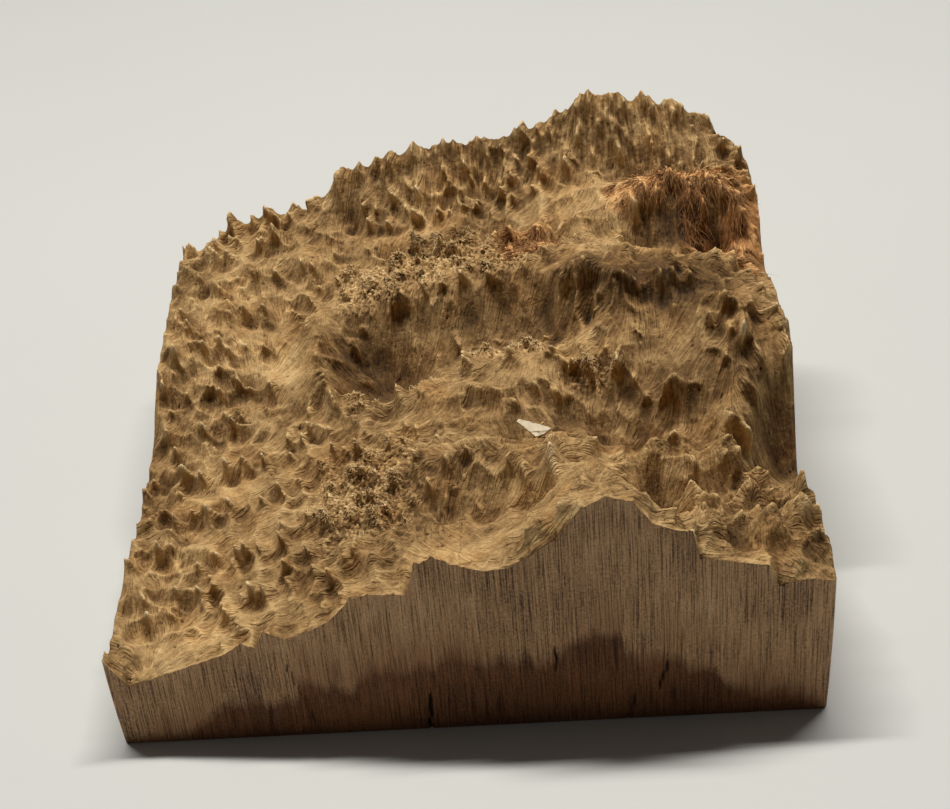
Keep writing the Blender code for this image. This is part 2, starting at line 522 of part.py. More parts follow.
def plan_grid(columns, rows):
    """Points that fill the plan, row by row, with the saw cuts as their border."""

    def points_on(side, share):
        length, points = side
        return np.stack([np.interp(share, length, points[:, axis]) for axis in (0, 1)], -1)

    front, right, back, left = saw_cuts()
    across, along = np.linspace(0, 1, columns), np.linspace(0, 1, rows)
    south, north = points_on(front, across)[:, None], points_on(back, 1 - across)[:, None]
    west, east = points_on(left, 1 - along)[None], points_on(right, along)[None]
    u, v = across[:, None, None], along[None, :, None]
    at_corners = (1 - v) * ((1 - u) * south[:1] + u * south[-1:]) + v * ((1 - u) * north[:1] + u * north[-1:])
    return (1 - v) * south + v * north + (1 - u) * west + u * east - at_corners


def closed_mesh(plan, heights):
    """Vertices and faces of the block: relief on top, sawn sides, and a flat underside."""
    columns, rows = heights.shape
    top = np.concatenate([plan, heights[..., None]], -1).reshape(-1, 3)
    index = np.arange(columns * rows).reshape(columns, rows)
    cells = np.stack([index[:-1, :-1], index[1:, :-1], index[1:, 1:], index[:-1, 1:]], -1)
    border = np.concatenate([index[:, 0], index[-1, 1:], index[-2::-1, -1], index[0, -2:0:-1]])
    rings, layers = [border], [top]
    for level in range(1, WALL_ROWS + 1):
        down = level / WALL_ROWS
        ring = top[border] * (1, 1, 1 - down)
        ring[:, 0] -= FOOT_INSET * down**FOOT_CURVE * ring[:, 0] / (WIDTH / 2)
        rings.append(len(top) + len(border) * (level - 1) + np.arange(len(border)))
        layers.append(ring)
    walls = [
        np.stack([low, np.roll(low, -1), np.roll(high, -1), high], -1)
        for high, low in zip(rings, rings[1:])
    ]
    faces = [*cells.reshape(-1, 4).tolist(), *np.concatenate(walls).tolist(), rings[-1][::-1].tolist()]
    return np.concatenate(layers), faces


def wood_material(name, colour, roughness):
    material = bpy.data.materials.new(name)
    material.use_nodes = True
    shader = material.node_tree.nodes["Principled BSDF"]
    shader.inputs["Base Color"].default_value = (*colour, 1.0)
    shader.inputs["Roughness"].default_value = roughness
    shader.inputs["Metallic"].default_value = 0.0
    return material


def thin_out(block, triangles):
    """Leaves about that many triangles, most of them where the relief bends, with the underside kept flat."""
    before = sum(len(face.vertices) - 2 for face in block.data.polygons)
    thinning = block.modifiers.new("thinning", "DECIMATE")
    thinning.ratio = triangles / before
    evaluated = block.evaluated_get(bpy.context.evaluated_depsgraph_get())
    thinned = bpy.data.meshes.new_from_object(evaluated)
    block.modifiers.remove(thinning)
    for vertex in thinned.vertices:
        if vertex.co.z < FLATNESS * METRE:
            vertex.co.z = 0.0
        if vertex.co.y < (FLATNESS - DEPTH / 2) * METRE:
            vertex.co.y = -DEPTH / 2 * METRE
    block.data = thinned


def main():
    for old in list(bpy.data.objects):
        bpy.data.objects.remove(old)
    xs, ys, surface = relief()
    plan = plan_grid(int(WIDTH / RASTER), int(DEPTH / RASTER))
    heights = sample(xs, ys, surface, plan[..., 0], plan[..., 1])
    vertices, faces = closed_mesh(plan, heights)
    mesh = bpy.data.meshes.new("burl_block")
    mesh.from_pydata((vertices * METRE).tolist(), [], faces)
    block = bpy.data.objects.new("burl_block", mesh)
    bpy.context.scene.collection.objects.link(block)
    thin_out(block, TRIANGLES)
    block.data.materials.append(wood_material("burl_wood", (0.42, 0.27, 0.13), 0.75))
    block.data.shade_smooth()
    block.data.set_sharp_from_angle(angle=math.radians(SHARP_EDGE))


if __name__ == "__main__":
    main()
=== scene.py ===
"""Looks of a burl bowl blank: one block sawn from a burl, its top left as it grew. The block is the
solid's own relief, made again in fine steps, with combed grain, flutes, crumbs and leaning thorn tips,
and with frayed tufts and rust-coloured fibres grown on it. X runs across the sawn front, Y runs to the
back and Z is up. Lists and formulas are in millimetres; meshes and settings are in metres."""

import math
import random
from functools import lru_cache

import bpy
import numpy as np
from mathutils import Matrix, Vector


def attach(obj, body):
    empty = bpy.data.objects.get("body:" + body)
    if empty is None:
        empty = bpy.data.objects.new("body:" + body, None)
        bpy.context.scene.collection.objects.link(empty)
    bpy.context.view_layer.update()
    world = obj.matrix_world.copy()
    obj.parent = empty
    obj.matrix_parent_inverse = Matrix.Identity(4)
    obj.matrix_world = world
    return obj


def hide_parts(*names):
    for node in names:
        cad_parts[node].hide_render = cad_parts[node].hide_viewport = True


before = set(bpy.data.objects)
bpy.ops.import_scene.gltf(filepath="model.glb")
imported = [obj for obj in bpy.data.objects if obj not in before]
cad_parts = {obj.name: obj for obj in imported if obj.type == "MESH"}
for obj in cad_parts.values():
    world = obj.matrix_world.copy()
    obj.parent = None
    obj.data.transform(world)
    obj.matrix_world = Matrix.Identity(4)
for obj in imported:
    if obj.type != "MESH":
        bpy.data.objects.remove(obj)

bl_info = {
    "name": "Burl bowl blank",
    "version": (1, 0, 0),
    "blender": (4, 5, 0),
    "location": "3D View > Sidebar > Burl",
    "description": "Builds a burl bowl blank with its grain, tufts and fibres, and a stage for it",
    "category": "Object",
}

MILLIMETRE = 0.001  # in metres
NODE = "burl_block"
BODY = "root"

# Overall size of the sawn block.
WIDTH = 210.0
DEPTH = 200.0

# Plan of the saw cuts, anticlockwise from the front left: corner and radius.
CORNERS = [
    (-105.0, -100.0, 0.8),
    (105.0, -100.0, 1.6),
    (102.0, 100.0, 26.0),
    (-103.0, 100.0, 9.0),
]
HALF_ARC = 8  # steps in half of a corner's arc
FOOT_INSET = 1.2  # how far the two end cuts draw in at the underside
FOOT_CURVE = 2.0  # power of that draw: higher keeps the side upright for longer

RASTER = 0.4  # spacing of the relief's grid
MARGIN = 6.0  # how far the relief's grid runs past the saw cuts
WALL_ROWS = 22  # rows of faces down the sawn sides

SEED = 41

# Height of the wood along the front saw cut, as x, z.
FRONT_EDGE = [
    (-105, 33), (-99, 23), (-92, 25), (-83, 28), (-70, 32.5), (-64, 36), (-60, 34.5),
    (-57, 40), (-51, 37.5), (-46, 39), (-38, 43), (-31, 50.5), (-26, 52), (-15, 51.5),
    (-12, 61), (-7, 63), (0, 60), (7, 58.3), (14, 59), (20, 63), (27, 68), (35, 78),
    (42, 81.5), (49, 79.5), (54, 72), (60, 69), (65, 68), (67, 59.5), (78, 56.5),
    (86, 55), (89, 48), (97, 49.5), (105, 48),
]
FRONT_REACH = 4.5  # how far in from the front cut that line still rules the relief

# Spot heights of the burl's ground, as x, y, z, thorns and flutes left off.
SPOTS = {
    "left field": [
        (-108, -104, 30), (-105, -88, 29), (-105, -68, 32), (-105, -48, 34), (-105, -28, 33),
        (-105, -8, 37), (-105, 6, 43), (-105, 22, 52), (-105, 42, 57), (-105, 62, 60),
        (-105, 82, 60), (-104, 104, 55), (-80, -80, 30), (-80, -58, 33), (-80, -38, 36),
        (-80, -18, 38), (-80, 2, 43), (-78, 22, 50), (-76, 42, 56), (-75, 62, 61),
        (-75, 82, 65), (-72, 104, 70), (-60, -78, 36), (-60, -48, 40), (-60, -18, 42),
        (-58, 2, 45), (-58, 24, 50), (-58, 46, 56), (-56, 72, 66), (-55, 104, 73),
    ],
    "front left slope": [
        (-40, -80, 43), (-40, -50, 45), (-38, -20, 46), (-22, -70, 50), (-20, -40, 50),
    ],
    "rim left of the great hollow": [(-48, 36, 62), (-47, 20, 57), (-43, 4, 52)],
    "great hollow": [
        (-26, 20, 40.5), (-18, 20, 42.5), (-31, 15, 42), (-22, 11, 42), (-14, 13, 46), (-39, 26, 51),
        (-39, 12, 47), (-30, 30, 49),
    ],
    "main crest": [
        (-44, 54, 61), (-34, 64, 66), (-20, 68, 71), (-6, 66, 74), (8, 62, 75), (22, 57, 77),
        (36, 50, 80), (48, 42, 82), (58, 34, 83), (66, 30, 82), (79, 30, 80), (92, 36, 74),
        (-34, 46, 64), (-22, 48, 69), (-8, 48, 72), (6, 47, 74), (20, 45, 76), (33, 37, 78.5),
    ],
    "lip of the main crest": [
        (-38, 37, 58), (-30, 36, 60), (-21, 37, 64), (-12, 37, 67.5), (-4, 36, 70), (4, 35, 72),
        (12, 35, 74), (21, 34, 75), (28, 31, 76), (34, 27, 77), (40, 20, 78), (47, 13, 77),
        (60, 14, 78), (72, 15, 79),
    ],
    "foot of the main crest": [
        (-12, 24, 50), (-3, 22, 54), (5, 21, 57), (15, 21, 59), (22, 20, 60), (29, 18, 61),
        (37, 12, 65), (47, 2, 68),
    ],
    "second crest": [
        (-20, -8, 53), (-12, -3, 57), (4, 3, 61), (18, 3, 64), (30, -1, 65), (40, -7, 61),
        (50, -9, 62), (60, -15, 61),
    ],
    "hollow below the second crest": [(28, -22, 54), (37, -22, 53), (45, -27, 50), (55, -31, 49)],
    "middle": [
        (4, -12, 58), (14, -12, 60), (-6, -30, 54), (-6, -42, 58), (8, -45, 61), (18, -50, 62),
        (35, -40, 57), (28, -60, 62), (41, -66, 68), (42, -84, 77), (22, -34, 56),
    ],
    "pale bowl": [(4, -76, 52), (-6, -62, 51), (18, -68, 54)],
    "pit beside the fin": [(56, -62, 45), (60, -74, 50), (62, -50, 56)],
    "right slope": [
        (60, 2, 70), (64, -8, 66), (70, -22, 60), (60, -26, 56), (72, 4, 73), (76, -12, 69),
    ],
    "right mound": [
        (80, 0, 77), (92, 4, 78), (105, 4, 73), (101, -12, 71.5), (104, -17, 69), (95, -17, 70),
        (86, -14, 73), (108, 14, 70),
    ],
    "ragged ridge": [
        (89, -19, 70), (90, -26, 65), (87, -33, 60), (82, -40, 56), (78, -26, 59), (76, -36, 53),
    ],
    "foot of the right mound": [
        (97, -23, 55), (96, -30, 42), (105, -30, 37), (91, -38, 42), (101, -40, 36),
    ],
    "front right lumps": [
        (74, -52, 54), (86, -56, 48), (100, -62, 49), (95, -80, 51), (80, -76, 54), (70, -84, 58),
    ],
    "front cut": [
        (-80, -103, 28), (-50, -103, 38), (-20, -103, 52), (8, -103, 58), (42, -103, 80),
        (62, -103, 68), (85, -103, 54), (105, -103, 48),
    ],
    "back": [
        (-44, 76, 67), (-28, 77, 70), (-10, 76, 72.5), (8, 72, 75), (24, 68, 78), (40, 68, 83),
        (46, 56, 80), (46, 86, 89), (-36, 90, 76), (-20, 90, 80), (-4, 90, 83), (14, 90, 85), (30, 88, 88),
    ],
    "rear ridge": [(-44, 104, 83), (-30, 104, 91), (-14, 104, 95), (2, 104, 96), (20, 104, 98)],
    "fan": [
        (30, 104, 101), (38, 104, 106), (50, 102, 109), (64, 102, 107), (76, 100, 102), (86, 97, 97),
        (95, 90, 91), (101, 80, 86), (84, 86, 90), (64, 82, 87), (78, 78, 84),
    ],
    "rusty mound": [
        (50, 62, 82), (60, 66, 88), (74, 67, 92), (86, 65, 91), (96, 60, 85), (50, 50, 77),
        (62, 52, 78), (76, 52, 78), (88, 50, 76), (98, 48, 74), (62, 43, 74), (76, 43, 73),
    ],
    "right back edge": [(106, 46, 64), (105, 58, 75), (104, 70, 80)],
}
SPOT_SOFTNESS = 2.6  # rounds the ground over each spot

# Hollows sunk into that ground, as x, y, depth, and reach along x and y.
HOLLOWS = {
    "alcove over the great hollow": (-13, 33, 5, 4, 5),
    "alcove left of the middle": (3, 31, 6, 4.5, 5),
    "alcove in the middle": (15, 31, 6.5, 4.5, 5.5),
    "alcove right of the middle": (28, 27, 6.5, 4.5, 5.5),
    "hole in the main crest": (42, 14, 5, 2.2, 3),
    "hollow under the second crest, left": (33, -20, 4, 5, 5),
    "hollow under the second crest, middle": (44, -24, 5, 5, 5),
    "hollow under the second crest, right": (57, -27, 3, 4, 5),
    "scoop before the chip": (16, -29, 7, 5, 5),
    "scoop behind the bowl crest": (3, -40, 5, 4, 4),
    "bowl scoop left": (-4, -60, 5, 4, 6),
    "bowl scoop middle": (8, -62, 5, 5, 6),
    "bowl scoop right": (22, -66, 4, 4, 5),
    "pit beside the fin": (57, -58, 9, 4.5, 9),
    "dip in the front right lumps": (78, -88, 5, 6, 5),
    "dip behind the front right lumps": (76, -60, 5, 7, 5),
    "dip at the right end": (96, -68, 4, 6, 4),
    "rusty hollow": (86, 49, 11, 7, 7),
    "rusty hollow, left": (62, 52, 6, 5, 5),
    "behind the rusty mound": (60, 84, 5, 9, 6),
    "hollow by the fan": (34, 56, 5, 5, 8),
    "scoop in the back, left": (-24, 66, 5, 6, 6),
    "scoop in the back, right": (12, 66, 5, 7, 6),
    "scoop under the rear ridge": (-40, 88, 6, 5, 7),
    "scoop under the rear ridge, right": (8, 88, 5, 6, 6),
}

# Scallops: the burl is scooped all over. Each scoop falls steeply from the thorn at its upper end and
# rises gently to the next, so sharp ridges run between the scoops and meet in peaks.
SCALLOP_SPACING = 8.4
SCALLOP_JITTER = 0.42  # over the spacing
SCALLOP_HEIGHT = 2.9  # from the bottom of a scoop to the ridge round it
SCALLOP_POWER = 1.6  # higher makes the ridges sharper
SCALLOP_RADIUS = 0.52  # of a scoop across the slope, over the spacing
SCALLOP_DOWN = 1.9  # how far a scoop runs down from its bottom, over its radius
SCALLOP_UP = 0.6  # how far it runs up
SCALLOP_STRETCH = 0.7  # how much longer a slope of 1 makes a scoop
SCALLOP_REACH = 1.5  # where a scoop's side ends, over its radius
SCALLOP_PEAK = 0.4  # rise of the peaks beyond the ridges, over what the scoops' shape would give
SCALLOP_MEAN = 0.58  # what the scallops add on average, taken off again
SCALLOP_TURN = 0.35  # radians off the downhill direction
SCALLOP_BETWEEN = 0.5  # share of their depth left between the rows of thorns
ROW_REACH = 5.0  # how far from a row of thorns the scoops are still deep
FACING = (0.42, -0.3)  # the way scoops open on level ground

# Rows of thorns: the line they stand on, then spacing, height and half width.
COMBS = {
    "rear ridge left": ([(-46, 97), (-38, 98), (-28, 98), (-14, 98), (4, 98), (28, 98)], 2.9, 2.8, 1.3),
    "rear ridge, second row": ([(-42, 93), (-28, 94), (-10, 94), (8, 93), (30, 93)], 3.6, 3.0, 1.3),
    "fan": (
        [(28, 98), (42, 98), (58, 98), (72, 97.5), (84, 95), (92, 90), (98, 82), (101, 72), (102, 58),
         (102, 46)], 2.3, 3.2, 1.2,
    ),
    "fan, second row": ([(34, 93), (50, 93), (64, 90), (74, 86), (84, 79), (92, 70)], 3.0, 3.0, 1.2),
    "fan, third row": ([(40, 87), (54, 87), (66, 83), (76, 79)], 3.6, 2.4, 1.3),
    "main crest left": (
        [(-48, 53), (-42, 60), (-30, 68), (-16, 71), (0, 68), (12, 62), (24, 56)], 4.6, 2.9, 1.3,
    ),
    "matted band": ([(-40, 50), (-28, 55), (-12, 56), (4, 54), (20, 50)], 3.8, 1.6, 1),
    "lip left": ([(-40, 38), (-28, 37), (-14, 38), (-4, 37)], 4.2, 2.5, 1.4),
    "lip middle": ([(-2, 36), (8, 36), (20, 35), (30, 31)], 5.4, 2.9, 1.5),
    "lip right": ([(34, 28), (42, 22), (50, 17), (60, 16), (72, 17), (82, 22), (94, 31)], 5.6, 5.6, 1.7),
    "hollow rim": ([(-47, 30), (-46, 16), (-42, 4), (-34, -4), (-22, -8), (-12, -4)], 5.5, 4, 1.7),
    "second crest": ([(-6, 3), (4, 5), (18, 4), (30, 0), (38, -7), (47, -12), (58, -18)], 5, 4.2, 1.5),
    "below the second crest": ([(0, -14), (10, -15), (22, -16), (30, -13)], 5.5, 4.2, 1.7),
    "bowl crest": ([(-14, -44), (-4, -48), (8, -50), (17, -54), (27, -60)], 6.5, 4.9, 1.9),
    "lumps back": ([(66, -50), (76, -50), (88, -52), (100, -54)], 4, 2.2, 1.3),
    "lumps middle": ([(70, -64), (80, -66), (90, -64), (102, -68)], 4.5, 2.4, 1.4),
    "lumps front": ([(66, -82), (74, -78), (84, -80), (92, -84), (103, -88)], 5, 2.0, 1.3),
    "ragged ridge": ([(81, -4), (86, -12), (90, -19), (90, -27), (86, -35), (80, -42)], 3.4, 5.6, 1.5),
    "edge over the wall": ([(91, -17), (98, -17), (104, -18)], 3.6, 2.4, 1.4),
    "right mound": ([(84, 2), (92, -4), (100, -8)], 5, 4.2, 1.6),
    "rusty mound": ([(58, 58), (66, 60), (78, 60), (90, 58), (99, 52)], 4.4, 4, 1.4),
    "under the rear ridge": ([(-40, 88), (-26, 89), (-8, 89), (10, 88), (28, 87), (42, 86)], 4.8, 4, 1.7),
    "back middle": ([(-30, 60), (-14, 58), (2, 58), (18, 58), (34, 60)], 5.5, 4.2, 1.4),
    "back middle far": ([(-34, 80), (-14, 82), (8, 80), (28, 78)], 5.5, 4.2, 1.4),
    "left rim": ([(-103, 86), (-94, 95), (-82, 97), (-66, 98), (-52, 97)], 5.1, 4.2, 1.4),
    "left row 2": ([(-98, 78), (-84, 80), (-70, 84), (-56, 86)], 6, 4.2, 1.6),
    "left row 3": ([(-102, 62), (-90, 62), (-78, 66), (-64, 64), (-50, 66)], 6, 3.8, 1.5),
    "left row 4": ([(-100, 46), (-88, 44), (-76, 48), (-62, 50), (-52, 50)], 6.4, 3.8, 1.6),
    "left row 5": ([(-101, 30), (-90, 28), (-78, 32), (-66, 32), (-56, 34)], 6, 4.3, 1.6),
    "left row 6": ([(-102, 14), (-90, 14), (-76, 16), (-62, 14)], 6.4, 4.6, 1.7),
    "left row 7": ([(-102, -4), (-90, -2), (-76, 0), (-62, 4), (-50, 0)], 6.4, 4.2, 1.6),
    "left row 8": ([(-102, -22), (-88, -20), (-74, -20), (-60, -18), (-48, -12)], 6.8, 4.2, 1.6),
    "left row 9": ([(-103, -40), (-88, -38), (-72, -38), (-58, -40), (-46, -34)], 6, 3.8, 1.4),
    "left row 10": ([(-103, -58), (-90, -56), (-74, -58), (-58, -60), (-44, -54)], 5.5, 4.2, 1.4),
    "left row 11": ([(-102, -76), (-88, -74), (-74, -76), (-60, -78), (-46, -72)], 6, 4.2, 1.5),
    "left row 12": ([(-100, -90), (-80, -88), (-62, -92)], 7.2, 3.3, 1.4),
    "rough slope 1": ([(-40, -24), (-30, -22), (-20, -26), (-12, -30)], 5, 3.5, 1.4),
    "rough slope 2": ([(-42, -42), (-30, -40), (-18, -46), (-10, -58)], 5, 3.5, 1.4),
    "rough slope 3": ([(-40, -62), (-30, -60), (-20, -66)], 5.5, 3.7, 1.5),
    "rough slope 4": ([(-40, -84), (-30, -80), (-20, -84), (-12, -86)], 6, 4.1, 1.7),
}

# Smooth places, where thorns stay low, as x, y, and reach along x and y.
SMOOTH_PLACES = {
    "pale bowl": (4, -82, 24, 12),
    "saddle behind the front peak": (38, -66, 10, 12),
    "steep wall on the right": (94, -27, 12, 10),
    "great hollow": (-24, 14, 14, 14),
    "alcoves under the main crest": (12, 29, 28, 5.5),
    "right slope": (69, -2, 8, 15),
    "left of the great hollow": (-57, 22, 9, 13),
    "valley in the left field": (-70, 38, 14, 4),
    "front left edge": (-82, -92, 18, 6),
    "left valley": (-72, -28, 10, 5),
    "right of the great hollow": (-6, 6, 6, 8),
    "middle valley": (8, -22, 6, 5),
    "back valley": (-16, 72, 14, 4),
}
SMOOTHNESS = 0.8  # share of a thorn's height lost in the middle of such a place

# Places too finely thorned for the big scoops, as x, y, and reach along x and y.
FINE_PLACES = {
    "rear ridge": (-12, 98, 36, 8),
    "fan": (60, 94, 30, 12),
    "matted band, left": (-28, 54, 18, 14),
    "matted band, middle": (0, 52, 20, 14),
    "matted band, right": (24, 44, 14, 12),
    "alcoves": (12, 30, 24, 8),
    "rough slope": (-28, -52, 18, 24),
    "second crest": (18, 0, 22, 8),
    "rusty mound": (80, 62, 22, 14),
}
FINENESS = 0.7  # share of the scoops' depth lost in the middle of such a place

# Rounded knobs, as x, y, height, and reach along x and y.
KNOBS = {
    "broad lump behind": (80, -48, 4, 7, 4),
    "knob left of the lumps": (58, -46, 5, 4, 4),
    "left lump": (70, -64, 5, 5, 5),
    "back lump": (90, -54, 4, 5, 3.5),
    "end lump": (102, -60, 3, 4, 4),
    "middle lump": (84, -68, 5, 5, 4.5),
    "right lump": (97, -73, 5, 4.5, 4),
    "front lump": (88, -84, 5, 6, 5),
    "curled eye": (102, -88, 5, 5, 5),
    "lump beside the fin": (70, -80, 5, 5, 5),
    "finger under the second crest": (67, -22, 5, 3.5, 6),
    "knob on the right mound": (99, -7, 4, 5, 4),
    "rim of the chip's seat": (18, -26, 3, 6, 4),
    "lump at the saddle": (33, -50, 3, 6, 4),
    "lump in the great hollow": (-37, 30, 3, 3, 3),
    "lower lump in the great hollow": (-33, 20, 3, 3, 2.5),
}

# Thorns that stand out by themselves, as x, y, height and half width.
LONE_THORNS = {
    "fin between the hollow and the alcoves": (-4, 31, 4, 2.8),
    "second fin": (9, 31, 3.5, 2.6),
    "third fin": (22, 30, 4, 2.8),
    "fourth fin": (36, 23, 4, 2.6),
    "knob in the great hollow": (-36, 33, 3.5, 1.8),
    "knob below it": (-36, 24, 3.5, 1.8),
    "thorn on the hollow's near rim": (-28, 5, 6, 2.4),
    "fin": (63, -44, 8, 2.2),
    "left thorn of the second crest": (41, -8, 7, 2.9),
    "tall thorn of the second crest": (54, -10, 10, 3.0),
    "thorn right of it": (65, -19, 8, 3.4),
    "knob at the back of the lumps": (77, -43, 4, 2.2),
    "second knob": (88, -52, 3, 1.8),
    "third knob": (101, -57, 3.5, 1.8),
    "fourth knob": (82, -66, 3, 1.8),
    "fifth knob": (96, -70, 3.5, 1.8),
    "sixth knob": (68, -62, 4, 2.0),
    "seventh knob": (102, -72, 5, 1.8),
    "eighth knob": (90, -82, 2.5, 1.6),
    "flute between the crests": (66, 6, 9, 3.0),
    "thorn over the wall": (81, -38, 6, 2.4),
    "knob before the wall": (69, -46, 4, 2.4),
    "folded lip": (103, -17, 5, 3.0),
    "knob beside the chip": (20, -24, 6, 2.6),
    "knob behind the saddle": (38, -44, 6, 2.4),
    "thorn on the saddle": (30, -50, 6, 2.6),
    "left end of the rear ridge": (-42, 95, 9, 3.2),
    "thorn under the fan": (54, 84, 9, 2.6),
}

TAIL = 0.85  # length of a thorn's downhill side over its half width, on level ground
TAIL_ON_SLOPE = 2.0  # what a slope of 1 adds to that
BACK = 3.0  # length of its uphill side over its half width
SHARPNESS = 0.06  # rounds the very tip
STEEPEST = 2.0  # a steeper slope draws the tail out no further
THORN_REACH = 4.0  # where a thorn's side has died away, over its length
PEAK_SEARCH = 1.1  # how far a thorn shifts to stand on a peak between scoops, over its half width
THORN_JITTER = 0.32  # of place and spacing, over the spacing
HEIGHT_JITTER = 0.27
TURN_JITTER = 0.25  # radians off the downhill direction
THORN_BLEND = 2.4  # power mean that joins thorns where they run together

# The scoop that opens downhill of each thorn.
SCOOP_DEPTH = 0.42  # over the thorn's height
SCOOP_AHEAD = 2.0  # over its half width
SCOOP_WIDTH = 1.9  # over its half width

# Thorns anywhere between the rows, as number, range of height and range of half width.
SCATTERED = {
    "strays": (140, (2.2, 4.2), (1.4, 2.2)),
    "small": (200, (1.2, 3.0), (1.0, 1.5)),
}

# Where the wood is rust-coloured, as x, y, and reach along x and y.
RUSTY_PLACES = {
    "rusty mound": (76, 67, 26, 7),
    "rusty mound, right": (97, 56, 8, 15),
    "rusty hollow": (92, 47, 9, 7),
    "streak down the mound's front": (80, 56, 5, 8),
    "patch behind the main crest": (22, 53, 10, 9),
    "end of the main crest": (92, 36, 8, 5),
}

# Where the surface is matted and crumbly.
MATTED_PLACES = {
    "band left": (-30, 52, 14, 12),
    "band middle": (-6, 53, 18, 13),
    "band right": (16, 47, 13, 9),
    "near rim of the great hollow": (-22, 2, 16, 5),
    "second crest": (16, 8, 17, 5),
    "second crest, right": (42, -8, 8, 4),
    "front left slope": (-30, -48, 16, 24),
    "rusty mound": (80, 68, 18, 6),
}

# Where flutes run down the slope.
FLUTED_PLACES = {
    "fan": (62, 92, 40, 12),
    "rear ridge": (-8, 94, 42, 10),
    "right of the main crest": (64, 12, 20, 14),
    "hollow under the second crest": (44, -20, 18, 10),
}

# Where it is paler or browner than the rest, as x, y, reach along x and y, and by how much; the darker
# entries in the great hollow, under the main crest, in the hollow under the second crest, on the wall on the
# right, in the pit beside the fin and on the front of the rusty mound are painted shade.
TONES_AND_PAINTED_SHADE = {
    "front bowl": (2, -84, 22, 10, 0.09),
    "saddle": (34, -66, 12, 9, 0.09),
    "grey saddle at the back": (44, 74, 12, 12, 0.03),
    "left valleys": (-78, 30, 20, 8, 0.1),
    "left front": (-82, -86, 20, 8, 0.1),
    "left middle": (-76, -30, 16, 9, 0.1),
    "left of the great hollow": (-58, 24, 9, 14, 0.1),
    "second crest": (18, 7, 20, 6, 0.17),
    "great hollow": (-30, 22, 15, 15, -0.25),
    "under the main crest": (14, 28, 30, 9, -0.12),
    "right slope": (72, -4, 26, 24, -0.1),
    "hollow under the second crest": (46, -24, 18, 9, -0.08),
    "wall on the right": (97, -28, 11, 9, -0.24),
    "middle": (8, -30, 40, 22, -0.05),
    "in front of the bowl": (-10, -62, 26, 14, -0.05),
    "right crest": (60, 18, 34, 12, -0.14),
    "behind the main crest": (64, 37, 34, 8, 0.16),
    "matted band": (-6, 53, 34, 13, 0.05),
    "front right lumps": (86, -68, 22, 20, -0.13),
    "right of the main crest": (76, 18, 28, 10, -0.14),
    "fan": (66, 92, 36, 16, -0.03),
    "back": (0, 84, 50, 16, 0.02),
    "left field": (-80, 10, 30, 90, 0.05),
    "front of the rusty mound": (80, 55, 16, 7, -0.4),
    "top of the rusty mound": (78, 70, 22, 6, 0.08),
    "pit beside the fin": (57, -60, 6, 10, -0.15),
}

# A painted highlight along the natural edge of the front: the top is made paler there.
RIM_PAINTED_HIGHLIGHT = 0.14  # how much paler the wood is along the natural edge of the front
RIM_REACH = 3.0  # and how far in

# Knots with rings round them, as x, y, and reach along x and y.
KNOTS = {
    "in the pale bowl": (2.5, -93.5, 2.4, 1.5),
    "curled eye": (100, -90, 4.5, 4.5),
    "eye in the lumps": (84, -72, 2.5, 2.0),
    "eye on the right slope": (66, -21, 1.6, 1.4),
    "small knot, left": (-68, -88, 1.6, 1.2),
    "small knot in the field": (-66, 32, 1.6, 1.4),
}
KNOT_FADES, KNOT_ENDS = 0.7, 1.1  # where a knot starts to fade and has faded, over its reach
KNOT_DARK = 0.35  # how dark a knot is beside a pore
RING_SPACING = 0.9
RING_REACH = 1.8  # how far rings run out, over the knot's reach

# The pale chip: its outline, its place, and how far it leans back from level.
CHIP_OUTLINE = [(-5.5, 2.6), (-3.0, 0.2), (0.2, -2.7), (2.8, -2.0), (5.3, -0.2), (-0.5, 2.1), (-4.9, 3.4)]
CHIP_PLACE = (23.0, -34.5)
CHIP_LEAN = math.radians(42)
CHIP_THICK = 1.2
CHIP_SUNK = 0.3  # how deep its lowest corner stands in the wood
CHIP_LAYERS = ((0.0, 1.0), (0.75, 1.0), (1.0, 0.93))  # share of its thickness, and of its outline there

# Upper edge of the dark heartwood along the front saw cut, as x, z.
HEART_EDGE = [
    (-105, 0), (-86, 2.7), (-75, 11.7), (-64, 12.9), (-52, 13.2), (-48, 20), (-34, 16), (-29, 25.7),
    (-18, 24.2), (-2, 30), (3, 25), (24, 23.5), (33, 31.6), (38, 35), (44.5, 33.5), (45.6, 24),
    (58, 23), (70, 17.3), (75, 11), (92, 8.8), (103, 2),
]
HEART_ELSEWHERE = 15.0  # its mean height round the other three sides
HEART_SWELL = 5.0
HEART_BLEND = 40.0  # how far from the front that height has taken over

# Checks in the front, from x, z at the top to x, z at the bottom, with width and depth.
CHECKS = {
    "below the bowl": (-11.3, 14.4, -12.8, -2, 0.7, 1.2),
    "in the middle": (25.8, 30, 25.3, 19, 0.6, 0.9),
    "right, slanting": (58, 23, 55, 11, 0.7, 1.0),
    "right, at the foot": (48.5, 12, 45.5, -2, 0.5, 0.7),
    "left, faint": (-53.6, 33.5, -44.4, -2, 0.5, 0.5),
}
CHECK_WANDER = 0.35  # how far a check strays from a straight line
CHECK_ENDS = 6.0  # either end narrows over one part in this many of its length

# Qualities of the surface that the colours read.
SHOWN_QUALITIES = (
    "stands", "detail", "steep", "grain", "pore", "matted", "rust", "paler", "flow x", "flow y",
)

